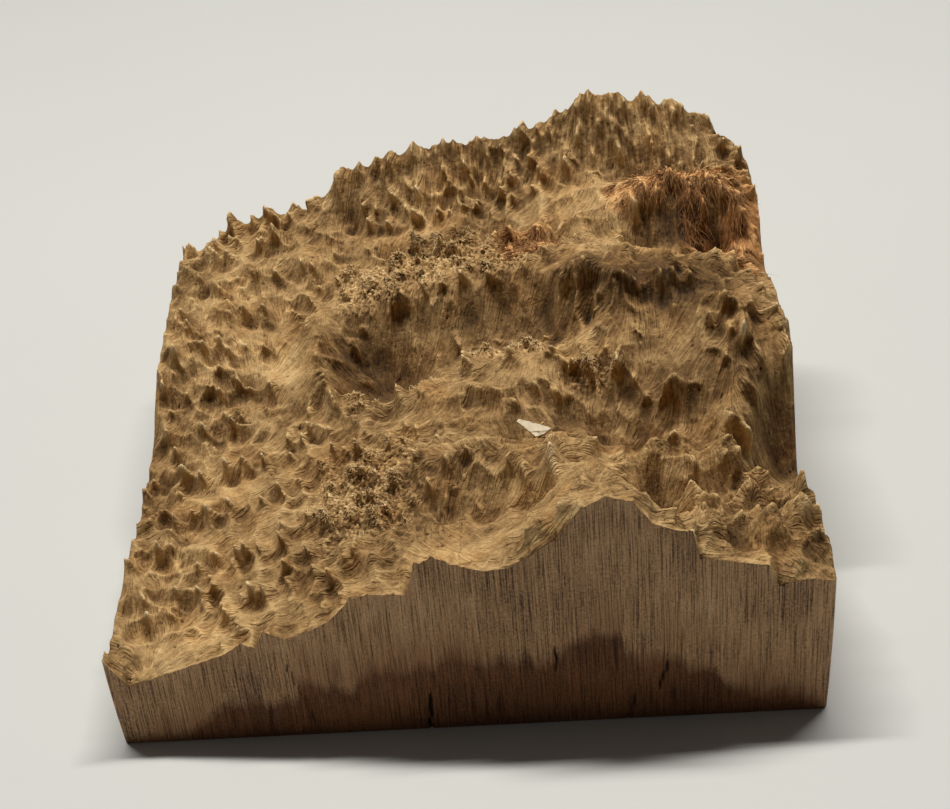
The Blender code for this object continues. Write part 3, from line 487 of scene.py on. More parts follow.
# Flutes, fray and grain are noises drawn out along the slope: the size across them and their length.
FLUTE_SIZE, FLUTE_LENGTH = 4.2, 15.0
FRAY_SIZE, FRAY_LENGTH = 2.3, 6.0
GRAIN_SIZE, GRAIN_LENGTH = 1.0, 16.0
GRAIN_LINE = (0.3, 1.5)  # depth of the noise where a line of grain starts and is full
GRAIN_MATTED = 0.5  # share of the grain lost where the surface is matted
COMB_STEP = 0.7  # length of a step along the slope when a noise is drawn out
FOLD = 0.8  # flutes and fray fold their noise into sharp ridges; this sets the ridges' height
STEEP = (0.25, 1.1)  # slopes where flutes start and are full
FLUTED_ELSEWHERE = 0.2  # share of the flutes' depth away from the fluted places
CREST = (0.3, 2.2)  # how far wood stands out where a crest starts and is full
CRUMB_SIZE = 1.6
PORE_SIZE = 1.9  # typical distance across the bumps that pores are picked from
PORE_RARITY = 2.1  # only where the bumps stand higher than this is there a pore
PORE_RIM = 0.8  # and above that by this, it is at its deepest

# Small scoops, shaped like the block's own.
SMALL_SPACING = 3.6
SMALL_JITTER = 0.3  # over the spacing
SMALL_TURN = 0.4  # radians off the downhill direction
SMALL_RADIUS = 0.56  # over the spacing
SMALL_DOWN = 1.6  # how far one runs down from its bottom, over its radius
SMALL_UP = 0.8
SMALL_REACH = 1.4  # where its side ends, over its radius
SMALL_POWER = 1.6  # higher makes the ridges between them sharper

# How much of a fine form shows: everywhere, and more on crests, on finely thorned and on matted places;
# then the share of it that smooth places lose.
SCOOPS_SHOWN = (0.3, 0.4, 0.9, 0.0, 0.85)
FRAY_SHOWN = (0.03, 0.6, 0.0, 0.0, 0.8)
CRUMBS_SHOWN = (0.08, 0.3, 0.0, 0.9, 0.7)

# How far round a place the surface is evened out to tell what stands out from it.
EDGE_REACH = 0.9  # ridges and creases narrower than this are sharpened
FLOW_REACH = 2.4  # bumps smaller than this don't turn the flutes
GRAIN_REACH = 4.5  # nor this the grain
TIP_REACH = 3.0  # wood that stands above what lies within this reach is a tip
TIP_HIGHEST = 5.0  # a tip that stands out further leans no more
STANDS_REACH = 3.5  # for the shade of tips and scoops
DETAIL_REACH = 1.1  # for the shade of fine detail
BROAD_REACH = 12.0  # bumps smaller than this don't turn the way the tips grow
BORDER = 4.0  # how far in from the saw cuts tips don't lean

# Loose strands: joints, girth, rise off the wood, sag, and the size and reach of their waves in metres.
RUST_FIBRE = (4, 0.15, 0.08, 0.3, 0.004, 0.003)
SPLINTER = (3, 0.3, 0.7, 0.2, 0.003, 0.0015)
STRAND_SUNK = 0.4  # how deep a strand's root stands in the wood
LENGTH_SPREAD, GIRTH_SPREAD = 0.35, 0.25  # how much strands vary, over their length and girth
RISE_SPREAD, SIDE_SPREAD = 0.2, 0.45  # how much their rise and their turn to the side vary
SAG_DOWN, SAG_FALL, SAG_ASIDE = 0.6, 0.4, 0.3  # shares of the sag down the slope, straight down and aside
RUST_END = (95, 99)  # x where rust fibres thin out and end

SHINE = 0.25  # specular level of every finish
PLAIN_TONE = 0.48  # of wood neither on a tip nor in a scoop, from 0 for the darkest to 1 for the palest

# Painted shade and light on the top: darker in the scoops (painted shade) and on the tallest tips, paler on
# steep faces (painted light); each is a quality, its range, and the change of tone at either end of the
# range.
PAINTED_LIGHT_AND_SHADE = (
    ("stands", -3.0, 0.4, -0.06, 0.02),
    ("stands", 1.0, 2.8, 0.0, -0.12),
    ("steep", 0.9, 2.4, 0.0, 0.15),
)
DETAIL_TONE = 0.2
GRAIN_TONE = -0.09
PORE_TONE = -0.5

# What mottles it: bumps per metre, detail, roughness and offset of a noise, and the change of tone.
MOTTLES = (
    (38.0, 3.0, 0.55, 0.0, 0.12),
    (150.0, 4.0, 0.55, 3.0, 0.1),
    (620.0, 3.0, 0.65, 4.0, 0.1),
)

# Marks of the saw: how many to a metre across and upwards, detail and offset of a noise.
SAW_LINES = (1500, 13, 3.0, 0.0)
SAW_DASHES = (2600, 60, 2.0, 9.0)
SAW_BANDS = (160, 5, 3.0, 5.0)
HEART_JAG = (15.0, 14.0)  # how far bands and clouds shift the heartwood's edge
HEART_SOFT = 2.6  # half width of that edge

# The camera: its place, and how it is turned, in degrees.
CAMERA_PLACE = (30.7, -488.4, 373.2)
CAMERA_PITCH = 33.69  # below the horizon
CAMERA_YAW = 3.2  # to the left of +Y
CAMERA_ROLL = -5.15
CAMERA_LENS, SENSOR = 68.2, 36.0  # focal length and width, in millimetres

# The stage, in metres. A lamp has its place, what it points at, its size, its power and its colour.
TABLE_SIZE = 6.0
LAMPS = {
    "strip lamp": ((-0.05, 0.37, 1.7), (-0.05, 0.0, 0.05), (1.4, 0.1), 42.0, (1.0, 0.98, 0.95)),
    "ceiling": ((-0.4, 0.2, 1.9), (0.0, 0.0, 0.0), (1.6, 1.6), 2.0, (1.0, 0.99, 0.97)),
}
ROOM_COLOUR = (1.0, 0.98, 0.94, 1.0)
ROOM_LIGHT = 0.035


def ground_weights(spots):
    """Weights of a multiquadric surface with a plane, through every spot height."""
    points = np.array(spots, float)
    xy, z = points[:, :2], points[:, 2]
    apart = np.hypot(*(xy[:, None, :] - xy[None, :, :]).transpose(2, 0, 1))
    count = len(spots)
    system = np.zeros((count + 3, count + 3))
    system[:count, :count] = np.hypot(apart, SPOT_SOFTNESS)
    system[:count, count] = system[count, :count] = 1.0
    system[:count, count + 1 :] = xy
    system[count + 1 :, :count] = xy.T
    return xy, np.linalg.solve(system, np.concatenate([z, np.zeros(3)]))


def oval(x, y, px, py, reach_x, reach_y, power=1.0):
    """1 at px, py, falling to 0 outside an oval of those reaches; a higher power makes a flatter top."""
    return np.exp(-((((x - px) / reach_x) ** 2 + ((y - py) / reach_y) ** 2) ** power))


def ground_height(x, y, xy, weights):
    """Height of the burl's ground, with its hollows and without thorns, at points x, y."""
    height = weights[-3] + weights[-2] * x + weights[-1] * y
    for (px, py), weight in zip(xy, weights):
        height = height + weight * np.sqrt((x - px) ** 2 + (y - py) ** 2 + SPOT_SOFTNESS**2)
    for px, py, depth, reach_x, reach_y in HOLLOWS.values():
        height = height - depth * oval(x, y, px, py, reach_x, reach_y)
    for px, py, rise, reach_x, reach_y in KNOBS.values():
        height = height + rise * oval(x, y, px, py, reach_x, reach_y, 1.5)
    return height


def along_line(points, spacing, draw):
    """Points along a broken line, about that far apart, with seeded jitter."""
    points = np.array(points, float)
    steps = np.hypot(*np.diff(points, axis=0).T)
    ends = np.concatenate([[0.0], np.cumsum(steps)])
    at = spacing * draw.uniform(0.2, 0.8)
    while at < ends[-1]:
        x = np.interp(at, ends, points[:, 0]) + spacing * THORN_JITTER * draw.gauss(0, 0.6)
        y = np.interp(at, ends, points[:, 1]) + spacing * THORN_JITTER * draw.gauss(0, 1.0)
        yield x, y
        at += spacing * draw.uniform(1 - THORN_JITTER, 1 + THORN_JITTER)


def facing(slope_at, x, y):
    """The way a scoop or thorn at x, y faces, in radians, and the slope there."""
    down_x, down_y = slope_at(x, y)
    turn = math.atan2(down_y + FACING[1], down_x + FACING[0])
    return turn, min(math.hypot(down_x, down_y), STEEPEST)


def window(lines, low, high):
    """The grid's lines from one place to another."""
    return slice(*np.searchsorted(lines, [low, high]))


def turned_to(dx, dy, turn):
    """Lengths along a direction and to the left of it."""
    return dx * math.cos(turn) + dy * math.sin(turn), dy * math.cos(turn) - dx * math.sin(turn)


def scooped_out(far, dx, dy, turn, radius, down, up):
    """How far up the nearest scoop's side each place lies, after one more scoop."""
    along, across = turned_to(dx, dy, turn)
    return np.minimum(far, np.hypot(along / np.where(along > 0, down, up), across / radius))


def scallops(xs, ys, x, y, slope_at):
    """0 at the bottom of each scoop, about 1 on the ridges and more on the peaks between them."""
    draw = random.Random(SEED)
    far = np.full(x.shape, SCALLOP_REACH)
    rows = int((xs[-1] - xs[0]) / SCALLOP_SPACING) + 2
    columns = int((ys[-1] - ys[0]) / SCALLOP_SPACING) + 2
    for i in range(rows):
        for j in range(columns):
            px = xs[0] + SCALLOP_SPACING * (i + j % 2 / 2 + SCALLOP_JITTER * draw.gauss(0, 0.6))
            py = ys[0] + SCALLOP_SPACING * (j + SCALLOP_JITTER * draw.gauss(0, 0.6))
            turn, slope = facing(slope_at, px, py)
            turn += SCALLOP_TURN * draw.gauss(0, 1)
            radius = SCALLOP_RADIUS * SCALLOP_SPACING * draw.uniform(0.75, 1.2)
            down = radius * SCALLOP_DOWN * (1 + SCALLOP_STRETCH * slope)
            reach = SCALLOP_REACH * down
            part = window(xs, px - reach, px + reach), window(ys, py - reach, py + reach)
            dx, dy = x[part] - px, y[part] - py
            far[part] = scooped_out(far[part], dx, dy, turn, radius, down, radius * SCALLOP_UP)
    return np.minimum(far, 1) ** SCALLOP_POWER + SCALLOP_PEAK * SCALLOP_POWER * np.maximum(far - 1, 0)


def within(x, y, places):
    """1 inside any of the places, each given as x, y and reach along x and y, falling to 0 outside them."""
    most = 0 * x
    for px, py, reach_x, reach_y in places.values():
        inside = np.exp(-(((x - px) / reach_x) ** 4) - ((y - py) / reach_y) ** 4)
        most = np.maximum(most, inside)
    return most


def smoothness(x, y):
    """How much of the relief is lost at x, y: 0 on rough wood, up to SMOOTHNESS in a smooth place."""
    return SMOOTHNESS * within(x, y, SMOOTH_PLACES)


def near_rows(x, y):
    """1 on the rows of thorns, falling to 0 away from them."""
    nearest = np.full(x.shape, 1e6)
    for line, *_ in COMBS.values():
        for (ax, ay), (bx, by) in zip(line, line[1:]):
            long = (bx - ax) ** 2 + (by - ay) ** 2
            share = np.clip(((x - ax) * (bx - ax) + (y - ay) * (by - ay)) / long, 0, 1)
            apart = (x - ax - share * (bx - ax)) ** 2 + (y - ay - share * (by - ay)) ** 2
            nearest = np.minimum(nearest, apart)
    return np.exp(-nearest / ROW_REACH**2)


def thorns(slope_at):
    """Every thorn as x, y, height, half width, tail length and downhill direction."""
    draw = random.Random(SEED)
    found = list(LONE_THORNS.values())
    for line, spacing, height, width in COMBS.values():
        for x, y in along_line(line, spacing, draw):
            size = math.exp(HEIGHT_JITTER * draw.gauss(0, 1))
            found.append((x, y, height * size, width * size**0.5))
    for number, heights, widths in SCATTERED.values():
        for _ in range(number):
            x = draw.uniform(-WIDTH / 2, WIDTH / 2)
            y = draw.uniform(-DEPTH / 2, DEPTH / 2)
            found.append((x, y, draw.uniform(*heights), draw.uniform(*widths)))
    for x, y, height, width in found:
        height *= 1 - smoothness(x, y)
        turn, slope = facing(slope_at, x, y)
        turn += TURN_JITTER * draw.gauss(0, 1)
        yield x, y, height, width, width * (TAIL + TAIL_ON_SLOPE * slope), turn


def relief():
    """The burl's surface on a regular grid: x and y of its lines, and heights."""
    reach_x, reach_y = WIDTH / 2 + MARGIN, DEPTH / 2 + MARGIN
    xs = np.linspace(-reach_x, reach_x, int(2 * reach_x / RASTER) + 1)
    ys = np.linspace(-reach_y, reach_y, int(2 * reach_y / RASTER) + 1)
    x, y = np.meshgrid(xs, ys, indexing="ij")
    xy, weights = ground_weights([spot for group in SPOTS.values() for spot in group])

    def slope_at(px, py, step=1.0):
        """How steeply the ground falls towards +X and towards +Y."""
        across = np.array([px + step, px - step, px, px])
        along = np.array([py, py, py + step, py - step])
        east, west, north, south = ground_height(across, along, xy, weights)
        return (west - east) / (2 * step), (south - north) / (2 * step)

    scooped = scallops(xs, ys, x, y, slope_at)
    raised, sunk = np.zeros_like(x), np.zeros_like(x)
    for px, py, height, width, tail, turn in thorns(slope_at):
        i, j = np.searchsorted(xs, px), np.searchsorted(ys, py)
        search = int(PEAK_SEARCH * width / RASTER)
        near = scooped[i - search : i + search + 1, j - search : j + search + 1]
        shift_i, shift_j = np.unravel_index(near.argmax(), near.shape)
        px, py = xs[i - search + shift_i], ys[j - search + shift_j]
        lengthwise = THORN_REACH * np.array([tail, tail, -width * BACK, -width * BACK])
        sideways = THORN_REACH * np.array([width, -width, width, -width])
        far_x = px + lengthwise * math.cos(turn) - sideways * math.sin(turn)
        far_y = py + lengthwise * math.sin(turn) + sideways * math.cos(turn)
        part = window(xs, far_x.min(), far_x.max()), window(ys, far_y.min(), far_y.max())
        along, across = turned_to(x[part] - px, y[part] - py, turn)
        across = across / width
        fall = np.where(along > 0, along / tail, along / (width * BACK))
        far = np.sqrt(across**2 + fall**2 + SHARPNESS**2)
        raised[part] += (height * np.exp(-far)) ** THORN_BLEND
        ahead = along / width - SCOOP_AHEAD
        scoop = SCOOP_DEPTH * height * np.exp(-(ahead**2 + across**2) / SCOOP_WIDTH**2)
        sunk[part] += scoop**THORN_BLEND
    surface = ground_height(x, y, xy, weights)
    surface += raised ** (1 / THORN_BLEND) - sunk ** (1 / THORN_BLEND)
    kept = (1 - smoothness(x, y)) * (1 - FINENESS * within(x, y, FINE_PLACES))
    kept *= SCALLOP_BETWEEN + (1 - SCALLOP_BETWEEN) * near_rows(x, y)
    surface += kept * SCALLOP_HEIGHT * (scooped - SCALLOP_MEAN)
    front = np.interp(xs, *zip(*FRONT_EDGE))
    row = np.searchsorted(ys, -DEPTH / 2)
    miss = front - surface[:, row]
    surface += miss[:, None] * np.exp(-np.abs(y + DEPTH / 2) / FRONT_REACH)
    return xs, ys, surface


def between(grid, i, j):
    """The grid's value at rows i and columns j, whole or not, by straight interpolation."""
    low_i = np.clip(i.astype(int), 0, grid.shape[0] - 2)
    low_j = np.clip(j.astype(int), 0, grid.shape[1] - 2)
    u, v = i - low_i, j - low_j
    low = grid[low_i, low_j] * (1 - u) + grid[low_i + 1, low_j] * u
    high = grid[low_i, low_j + 1] * (1 - u) + grid[low_i + 1, low_j + 1] * u
    return low * (1 - v) + high * v


def sample(xs, ys, grid, x, y):
    """The grid's value at points x, y."""
    return between(grid, (x - xs[0]) / (xs[1] - xs[0]), (y - ys[0]) / (ys[1] - ys[0]))


def corner_arc(before, corner, after, radius):
    """Points of the arc that rounds a corner of the plan, from one saw cut to the next."""
    corner = np.array(corner)
    to_before, to_after = np.array(before) - corner, np.array(after) - corner
    to_before, to_after = to_before / np.hypot(*to_before), to_after / np.hypot(*to_after)
    half = math.acos(to_before @ to_after) / 2
    middle = (to_before + to_after) / np.hypot(*(to_before + to_after))
    centre = corner + middle * radius / math.sin(half)
    first, last = (
        math.atan2(*(corner + side * radius / math.tan(half) - centre)[::-1])
        for side in (to_before, to_after)
    )
    angles = first + (last - first) % (2 * math.pi) * np.linspace(0, 1, 2 * HALF_ARC + 1)
    return centre + radius * np.stack([np.cos(angles), np.sin(angles)], 1)


def saw_cuts():
    """The four sides in plan, anticlockwise from the front, each with its length from 0 to 1 and its points.
    A side starts and ends halfway round the corners that it shares."""
    places, radii = [corner[:2] for corner in CORNERS], [corner[2] for corner in CORNERS]
    arcs = [
        corner_arc(places[k - 1], places[k], places[(k + 1) % 4], radii[k]) for k in range(4)
    ]
    for k in range(4):
        points = np.concatenate([arcs[k][HALF_ARC:], arcs[(k + 1) % 4][: HALF_ARC + 1]])
        length = np.concatenate([[0.0], np.cumsum(np.hypot(*np.diff(points, axis=0).T))])
        yield length / length[-1], points


def plan_grid(columns, rows):
    """Points that fill the plan, row by row, with the saw cuts as their border."""

    def points_on(side, share):
        length, points = side
        return np.stack([np.interp(share, length, points[:, axis]) for axis in (0, 1)], -1)

    front, right, back, left = saw_cuts()
    across, along = np.linspace(0, 1, columns), np.linspace(0, 1, rows)
    south, north = points_on(front, across)[:, None], points_on(back, 1 - across)[:, None]
    west, east = points_on(left, 1 - along)[None], points_on(right, along)[None]
    u, v = across[:, None, None], along[None, :, None]
    front_corners = (1 - u) * south[:1] + u * south[-1:]
    back_corners = (1 - u) * north[:1] + u * north[-1:]
    at_corners = (1 - v) * front_corners + v * back_corners
    return (1 - v) * south + v * north + (1 - u) * west + u * east - at_corners


def fine_scoops(xs, ys, x, y, flow):
    """Small scoops in rows, like the block's own, open along the flow: 0 at the bottom, 1 on the ridges."""
    draw = np.random.default_rng(SEED + 5)
    far = np.full(x.shape, SMALL_REACH)
    for row in np.arange(xs[0], xs[-1], SMALL_SPACING):
        for column in np.arange(ys[0], ys[-1], SMALL_SPACING):
            px = row + SMALL_SPACING * draw.normal() * SMALL_JITTER
            py = column + SMALL_SPACING * draw.normal() * SMALL_JITTER
            i, j = np.searchsorted(xs, px), np.searchsorted(ys, py)
            if not (0 < i < len(xs) and 0 < j < len(ys)):
                continue
            turn = math.atan2(flow[1][i, j], flow[0][i, j]) + SMALL_TURN * draw.normal()
            radius = SMALL_RADIUS * SMALL_SPACING * draw.uniform(0.8, 1.2)
            reach = int(SMALL_REACH * SMALL_DOWN * radius / RASTER) + 1
            part = slice(max(i - reach, 0), i + reach), slice(max(j - reach, 0), j + reach)
            dx, dy = x[part] - px, y[part] - py
            down, up = radius * SMALL_DOWN, radius * SMALL_UP
            far[part] = scooped_out(far[part], dx, dy, turn, radius, down, up)
    return far**SMALL_POWER


def blurred(grid, reach):
    """The fine grid with a Gaussian blur of that reach, its edges mirrored."""
    mirrored = np.block([[grid, grid[:, ::-1]], [grid[::-1], grid[::-1, ::-1]]])
    across = np.fft.fftfreq(mirrored.shape[0], RASTER)
    along = np.fft.rfftfreq(mirrored.shape[1], RASTER)
    kept = np.exp(-2 * (math.pi * reach) ** 2 * (across[:, None] ** 2 + along[None] ** 2))
    soft = np.fft.irfft2(np.fft.rfft2(mirrored) * kept, mirrored.shape)
    return soft[: grid.shape[0], : grid.shape[1]]


def speckle(shape, size, seed):
    """Random bumps of about that size, with a mean of 0 and a spread of 1."""
    noise = np.random.default_rng(seed).standard_normal(shape)
    noise = blurred(noise, size / 8) - blurred(noise, size / 2)
    return noise / noise.std()


def combed(noise, flow, length):
    """The noise drawn out along the flow, as grain that is combed that way."""
    rows, columns = noise.shape
    total = noise.copy()
    steps = int(length / 2 / COMB_STEP)
    for way in (COMB_STEP / RASTER, -COMB_STEP / RASTER):
        i, j = np.indices((rows, columns), dtype=float)
        for step in range(1, steps + 1):
            near = np.rint(i).astype(int), np.rint(j).astype(int)
            i = np.clip(i + way * flow[0][near], 0, rows - 1.001)
            j = np.clip(j + way * flow[1][near], 0, columns - 1.001)
            total += between(noise, i, j) * (0.5 + 0.5 * math.cos(math.pi * step / (steps + 1)))
    return (total - total.mean()) / total.std()


def eased(value, low, high):
    """0 below low, 1 above high, and a smooth rise between."""
    share = np.clip((value - low) / (high - low), 0, 1)
    return share * share * (3 - 2 * share)


def downhill(height, reach, least=0.0):
    """The way that the surface falls at each place, bumps below that reach left out, and its slope,
    which is given a least value where level wood needs one."""
    fall_x, fall_y = np.gradient(-blurred(height, reach), RASTER)
    slope = np.hypot(fall_x, fall_y) + least
    return (fall_x / slope, fall_y / slope), slope


def knots_in(x, y):
    """How far each place lies in a knot, from 0 to 1, and the waves of the rings round the knots."""
    knot, rings = np.zeros_like(x), np.zeros_like(x)
    for px, py, reach_x, reach_y in KNOTS.values():
        away = np.hypot((x - px) / reach_x, (y - py) / reach_y)
        knot = np.maximum(knot, eased(-away, -KNOT_ENDS, -KNOT_FADES))
        wave = np.cos(2 * math.pi * away * reach_x / RING_SPACING)
        rings += wave * np.exp(-((away / RING_REACH) ** 4))
    return knot, rings


@lru_cache(maxsize=None)
def surface():
    """The burl's finished surface on the fine grid: its lines' x and y, and a grid for each quality."""
    sizes = bpy.context.scene.burl.sizes
    xs, ys, height = relief()
    x, y = np.meshgrid(xs, ys, indexing="ij")
    flow, slope = downhill(height, FLOW_REACH, 1e-6)
    comb, _ = downhill(height, GRAIN_REACH)
    crest = eased(height - blurred(height, TIP_REACH), *CREST)
    smooth = smoothness(x, y) / SMOOTHNESS
    rough = within(x, y, {**FINE_PLACES, **MATTED_PLACES})
    matted = within(x, y, MATTED_PLACES)

    def shown(form, depth, everywhere, on_crests, on_rough, on_matted, lost):
        """What a fine form adds to the height, stronger in some places and weaker in smooth ones."""
        share = everywhere + on_crests * crest + on_rough * rough + on_matted * matted
        return depth / MILLIMETRE * form * share * (1 - lost * smooth)

    flutes = FOLD - np.abs(combed(speckle(x.shape, FLUTE_SIZE, SEED + 1), flow, FLUTE_LENGTH))
    fray = FOLD - np.abs(combed(speckle(x.shape, FRAY_SIZE, SEED + 2), flow, FRAY_LENGTH))
    grain = eased(-combed(speckle(x.shape, GRAIN_SIZE, SEED + 3), comb, GRAIN_LENGTH), *GRAIN_LINE)
    crumbs = speckle(x.shape, CRUMB_SIZE, SEED + 4)
    scoops = fine_scoops(xs, ys, x, y, flow)
    pores = eased(speckle(x.shape, PORE_SIZE, SEED + 6), PORE_RARITY, PORE_RARITY + PORE_RIM)
    knot, rings = knots_in(x, y)
    fluted = FLUTED_ELSEWHERE + (1 - FLUTED_ELSEWHERE) * within(x, y, FLUTED_PLACES)
    height = height + sizes.sharpening * (height - blurred(height, EDGE_REACH))
    height += sizes.flute_depth / MILLIMETRE * flutes * eased(slope, *STEEP) * fluted
    height += shown(scoops - scoops.mean(), sizes.scoop_depth, *SCOOPS_SHOWN)
    height += shown(fray, sizes.fray_depth, *FRAY_SHOWN)
    height += shown(crumbs, sizes.crumb_depth, *CRUMBS_SHOWN)
    height -= sizes.grain_depth / MILLIMETRE * grain * (1 - GRAIN_MATTED * matted)
    height -= sizes.pore_depth / MILLIMETRE * pores
    height += sizes.ring_depth / MILLIMETRE * rings

    tips = np.clip(height - blurred(height, TIP_REACH), 0, TIP_HIGHEST)
    broad_x, broad_y = np.gradient(-blurred(height, BROAD_REACH), RASTER)
    # Painted highlight along the front rim, the paler and browner places, and painted shade in the hollows
    # and on shaded walls.
    paler = RIM_PAINTED_HIGHLIGHT * np.exp(-(((y + DEPTH / 2) / RIM_REACH) ** 2))
    for px, py, reach_x, reach_y, change in TONES_AND_PAINTED_SHADE.values():
        paler += change * oval(x, y, px, py, reach_x, reach_y, 1.5)
    return xs, ys, {
        "height": height,
        "lean x": sizes.tip_lean * tips * np.clip(broad_x, -1, 1),
        "lean y": sizes.tip_lean * tips * np.clip(broad_y, -1, 1),
        "stands": height - blurred(height, STANDS_REACH),
        "detail": height - blurred(height, DETAIL_REACH),
        "steep": np.hypot(*np.gradient(blurred(height, EDGE_REACH), RASTER)),
        "grain": grain + np.maximum(rings, 0),
        "pore": np.maximum(pores, KNOT_DARK * knot),
        "matted": matted,
        "rust": within(x, y, RUSTY_PLACES),
        "paler": paler,
        "slope": slope,
        "flow x": comb[0],
        "flow y": comb[1],
    }


@lru_cache(maxsize=None)
def top_points():
    """Points of the block's top, as rows of x, y, z, and the qualities that its wood takes on there."""
    xs, ys, grids = surface()
    columns, rows = (2 * int(length / RASTER / 2) + 1 for length in (WIDTH, DEPTH))
    plan = plan_grid(columns, rows)
    found = {name: sample(xs, ys, grid, plan[..., 0], plan[..., 1]) for name, grid in grids.items()}
    share_x, share_y = np.linspace(0, 1, columns)[:, None], np.linspace(0, 1, rows)[None]
    inside = np.minimum(
        WIDTH * np.minimum(share_x, 1 - share_x), DEPTH * np.minimum(share_y, 1 - share_y)
    )
    held = eased(inside, 0.0, BORDER)
    found["inside"] = held
    lean = np.stack([found["lean x"] * held, found["lean y"] * held], -1)
    return np.concatenate([plan + lean, found["height"][..., None]], -1), found


def heart_height(x, y):
    """Upper edge of the heartwood at a place on the saw cuts: drawn in front, slow waves elsewhere."""
    front = np.interp(x, *zip(*HEART_EDGE))
    swell = HEART_ELSEWHERE + HEART_SWELL * (np.sin(x / 17 + y / 29) + np.sin(x / 7.3 - y / 11) / 2)
    back = eased(y, -DEPTH / 2, -DEPTH / 2 + HEART_BLEND)
    return front * (1 - back) + swell * back


def check_depth(x, z):
    """How deep the drying checks cut into the front at x, z."""
    deepest = 0 * x
    for top_x, top_z, low_x, low_z, width, depth in CHECKS.values():
        share = (z - low_z) / (top_z - low_z)
        middle = low_x + (top_x - low_x) * share + CHECK_WANDER * np.sin(z * 1.3 + top_x)
        ends = np.clip(np.minimum(share, 1 - share) * CHECK_ENDS, 0, 1)
        near = np.clip(1 - np.abs(x - middle) / width, 0, 1)
        deepest = np.maximum(deepest, depth * near * ends)
    return deepest


def new_piece(name, points, faces, scale=MILLIMETRE):
    """A linked object with a mesh of those points, in millimetres unless scaled otherwise, and faces."""
    mesh = bpy.data.meshes.new(name)
    mesh.from_pydata((np.array(points) * scale).tolist(), [], faces)
    piece = bpy.data.objects.new(name, mesh)
    bpy.context.scene.collection.objects.link(piece)
    return piece


def quarter(name, first_column, last_column, first_row, last_row):
    """One closed quarter of the block: part of the top, saw cuts, and faces against its neighbours."""
    points, found = top_points()
    part = slice(first_column, last_column + 1), slice(first_row, last_row + 1)
    top = points[part]
    columns, rows = top.shape[:2]
    index = np.arange(columns * rows).reshape(columns, rows)
    cells = np.stack([index[:-1, :-1], index[1:, :-1], index[1:, 1:], index[:-1, 1:]], -1).reshape(-1, 4)
    border = np.concatenate([index[:, 0], index[-1, 1:], index[-2::-1, -1], index[0, -2:0:-1]])
    top = top.reshape(-1, 3)
    edge = top[border]
    on_front = edge[:, 1] < -DEPTH / 2 + 0.01
    layers, rings, checks = [top], [border], [np.zeros(len(top))]
    for level in range(1, WALL_ROWS + 1):
        down = level / WALL_ROWS
        ring = edge * (1, 1, 1 - down)
        ring[:, 0] -= FOOT_INSET * down**FOOT_CURVE * ring[:, 0] / (WIDTH / 2)
        cut = check_depth(ring[:, 0], ring[:, 2]) * on_front
        ring[:, 1] += cut
        rings.append(len(top) + len(border) * (level - 1) + np.arange(len(border)))
        layers.append(ring)
        checks.append(cut)
    walls = np.concatenate([
        np.stack([low, np.roll(low, -1), np.roll(high, -1), high], -1)
        for high, low in zip(rings, rings[1:])
    ])
    vertices = np.concatenate(layers)
    faces = [*cells.tolist(), *walls.tolist(), rings[-1][::-1].tolist()]
    piece = new_piece(name, vertices, faces)
    sawn = np.arange(len(faces)) >= len(cells)
    piece.data.polygons.foreach_set("use_smooth", ~sawn)
    piece.data.polygons.foreach_set("material_index", sawn.astype(int))
    source = np.concatenate([np.arange(len(top)), *[border] * WALL_ROWS])
    qualities = {label: found[label][part].reshape(-1)[source] for label in SHOWN_QUALITIES}
    qualities["above heart"] = vertices[:, 2] - heart_height(vertices[:, 0], vertices[:, 1])
    qualities["check"] = np.concatenate(checks)
    for label, values in qualities.items():
        layer = piece.data.attributes.new(label, "FLOAT", "POINT")
        layer.data.foreach_set("value", values.astype(np.float32))
    return piece


def add(tree, kind, inputs=None, **settings):
    """A new node with its settings and inputs; an input is a value or the socket that feeds it."""
    made = tree.nodes.new(kind)
    for name, value in settings.items():
        setattr(made, name, value)
    for name, value in (inputs or {}).items():
        if isinstance(value, bpy.types.NodeSocket):
            tree.links.new(value, made.inputs[name])
        else:
            made.inputs[name].default_value = value
    return made


def sums(tree, operation, *values, clamp=False):
    """The result of a Math node."""
    made = add(tree, "ShaderNodeMath", dict(enumerate(values)), operation=operation, use_clamp=clamp)
    return made.outputs[0]


def mixed(tree, share, first, second, blend="MIX"):
    """Two colours mixed by a share from 0 to 1."""
    inputs = {0: share, 6: first, 7: second}
    return add(tree, "ShaderNodeMix", inputs, data_type="RGBA", blend_type=blend).outputs[2]


def spread(tree, value, low, high, to_low=0.0, to_high=1.0):
    """The value carried from one range to another, and held inside it."""
    inputs = {"Value": value, "From Min": low, "From Max": high, "To Min": to_low, "To Max": to_high}
    return add(tree, "ShaderNodeMapRange", inputs, clamp=True).outputs[0]


def mottled(tree, value, strength):
    """Noise as a change of tone, up to that strength darker or paler."""
    return spread(tree, value, 0.3, 0.7, -strength, strength)


def quality(tree, name):
    """A quality of the surface, as stored in the mesh."""
    return add(tree, "ShaderNodeAttribute", attribute_name=name).outputs["Fac"]


def noise(tree, scale, detail=3.0, roughness=0.55, stretch=(1, 1, 1), offset=0.0):
    """Noise on Object coordinates, in bumps per metre."""
    place = add(tree, "ShaderNodeTexCoord").outputs["Object"]
    inputs = {"Vector": place, "Scale": stretch, "Location": (offset, offset, offset)}
    inputs = {"Vector": add(tree, "ShaderNodeMapping", inputs).outputs[0], "Scale": scale}
    inputs.update({"Detail": detail, "Roughness": roughness})
    return add(tree, "ShaderNodeTexNoise", inputs).outputs[0]


def upright(tree, across, up, detail, offset):
    """Noise drawn out upwards, in bumps per metre across and up."""
    return noise(tree, 1.0, detail, 0.6, (across, across, up), offset)


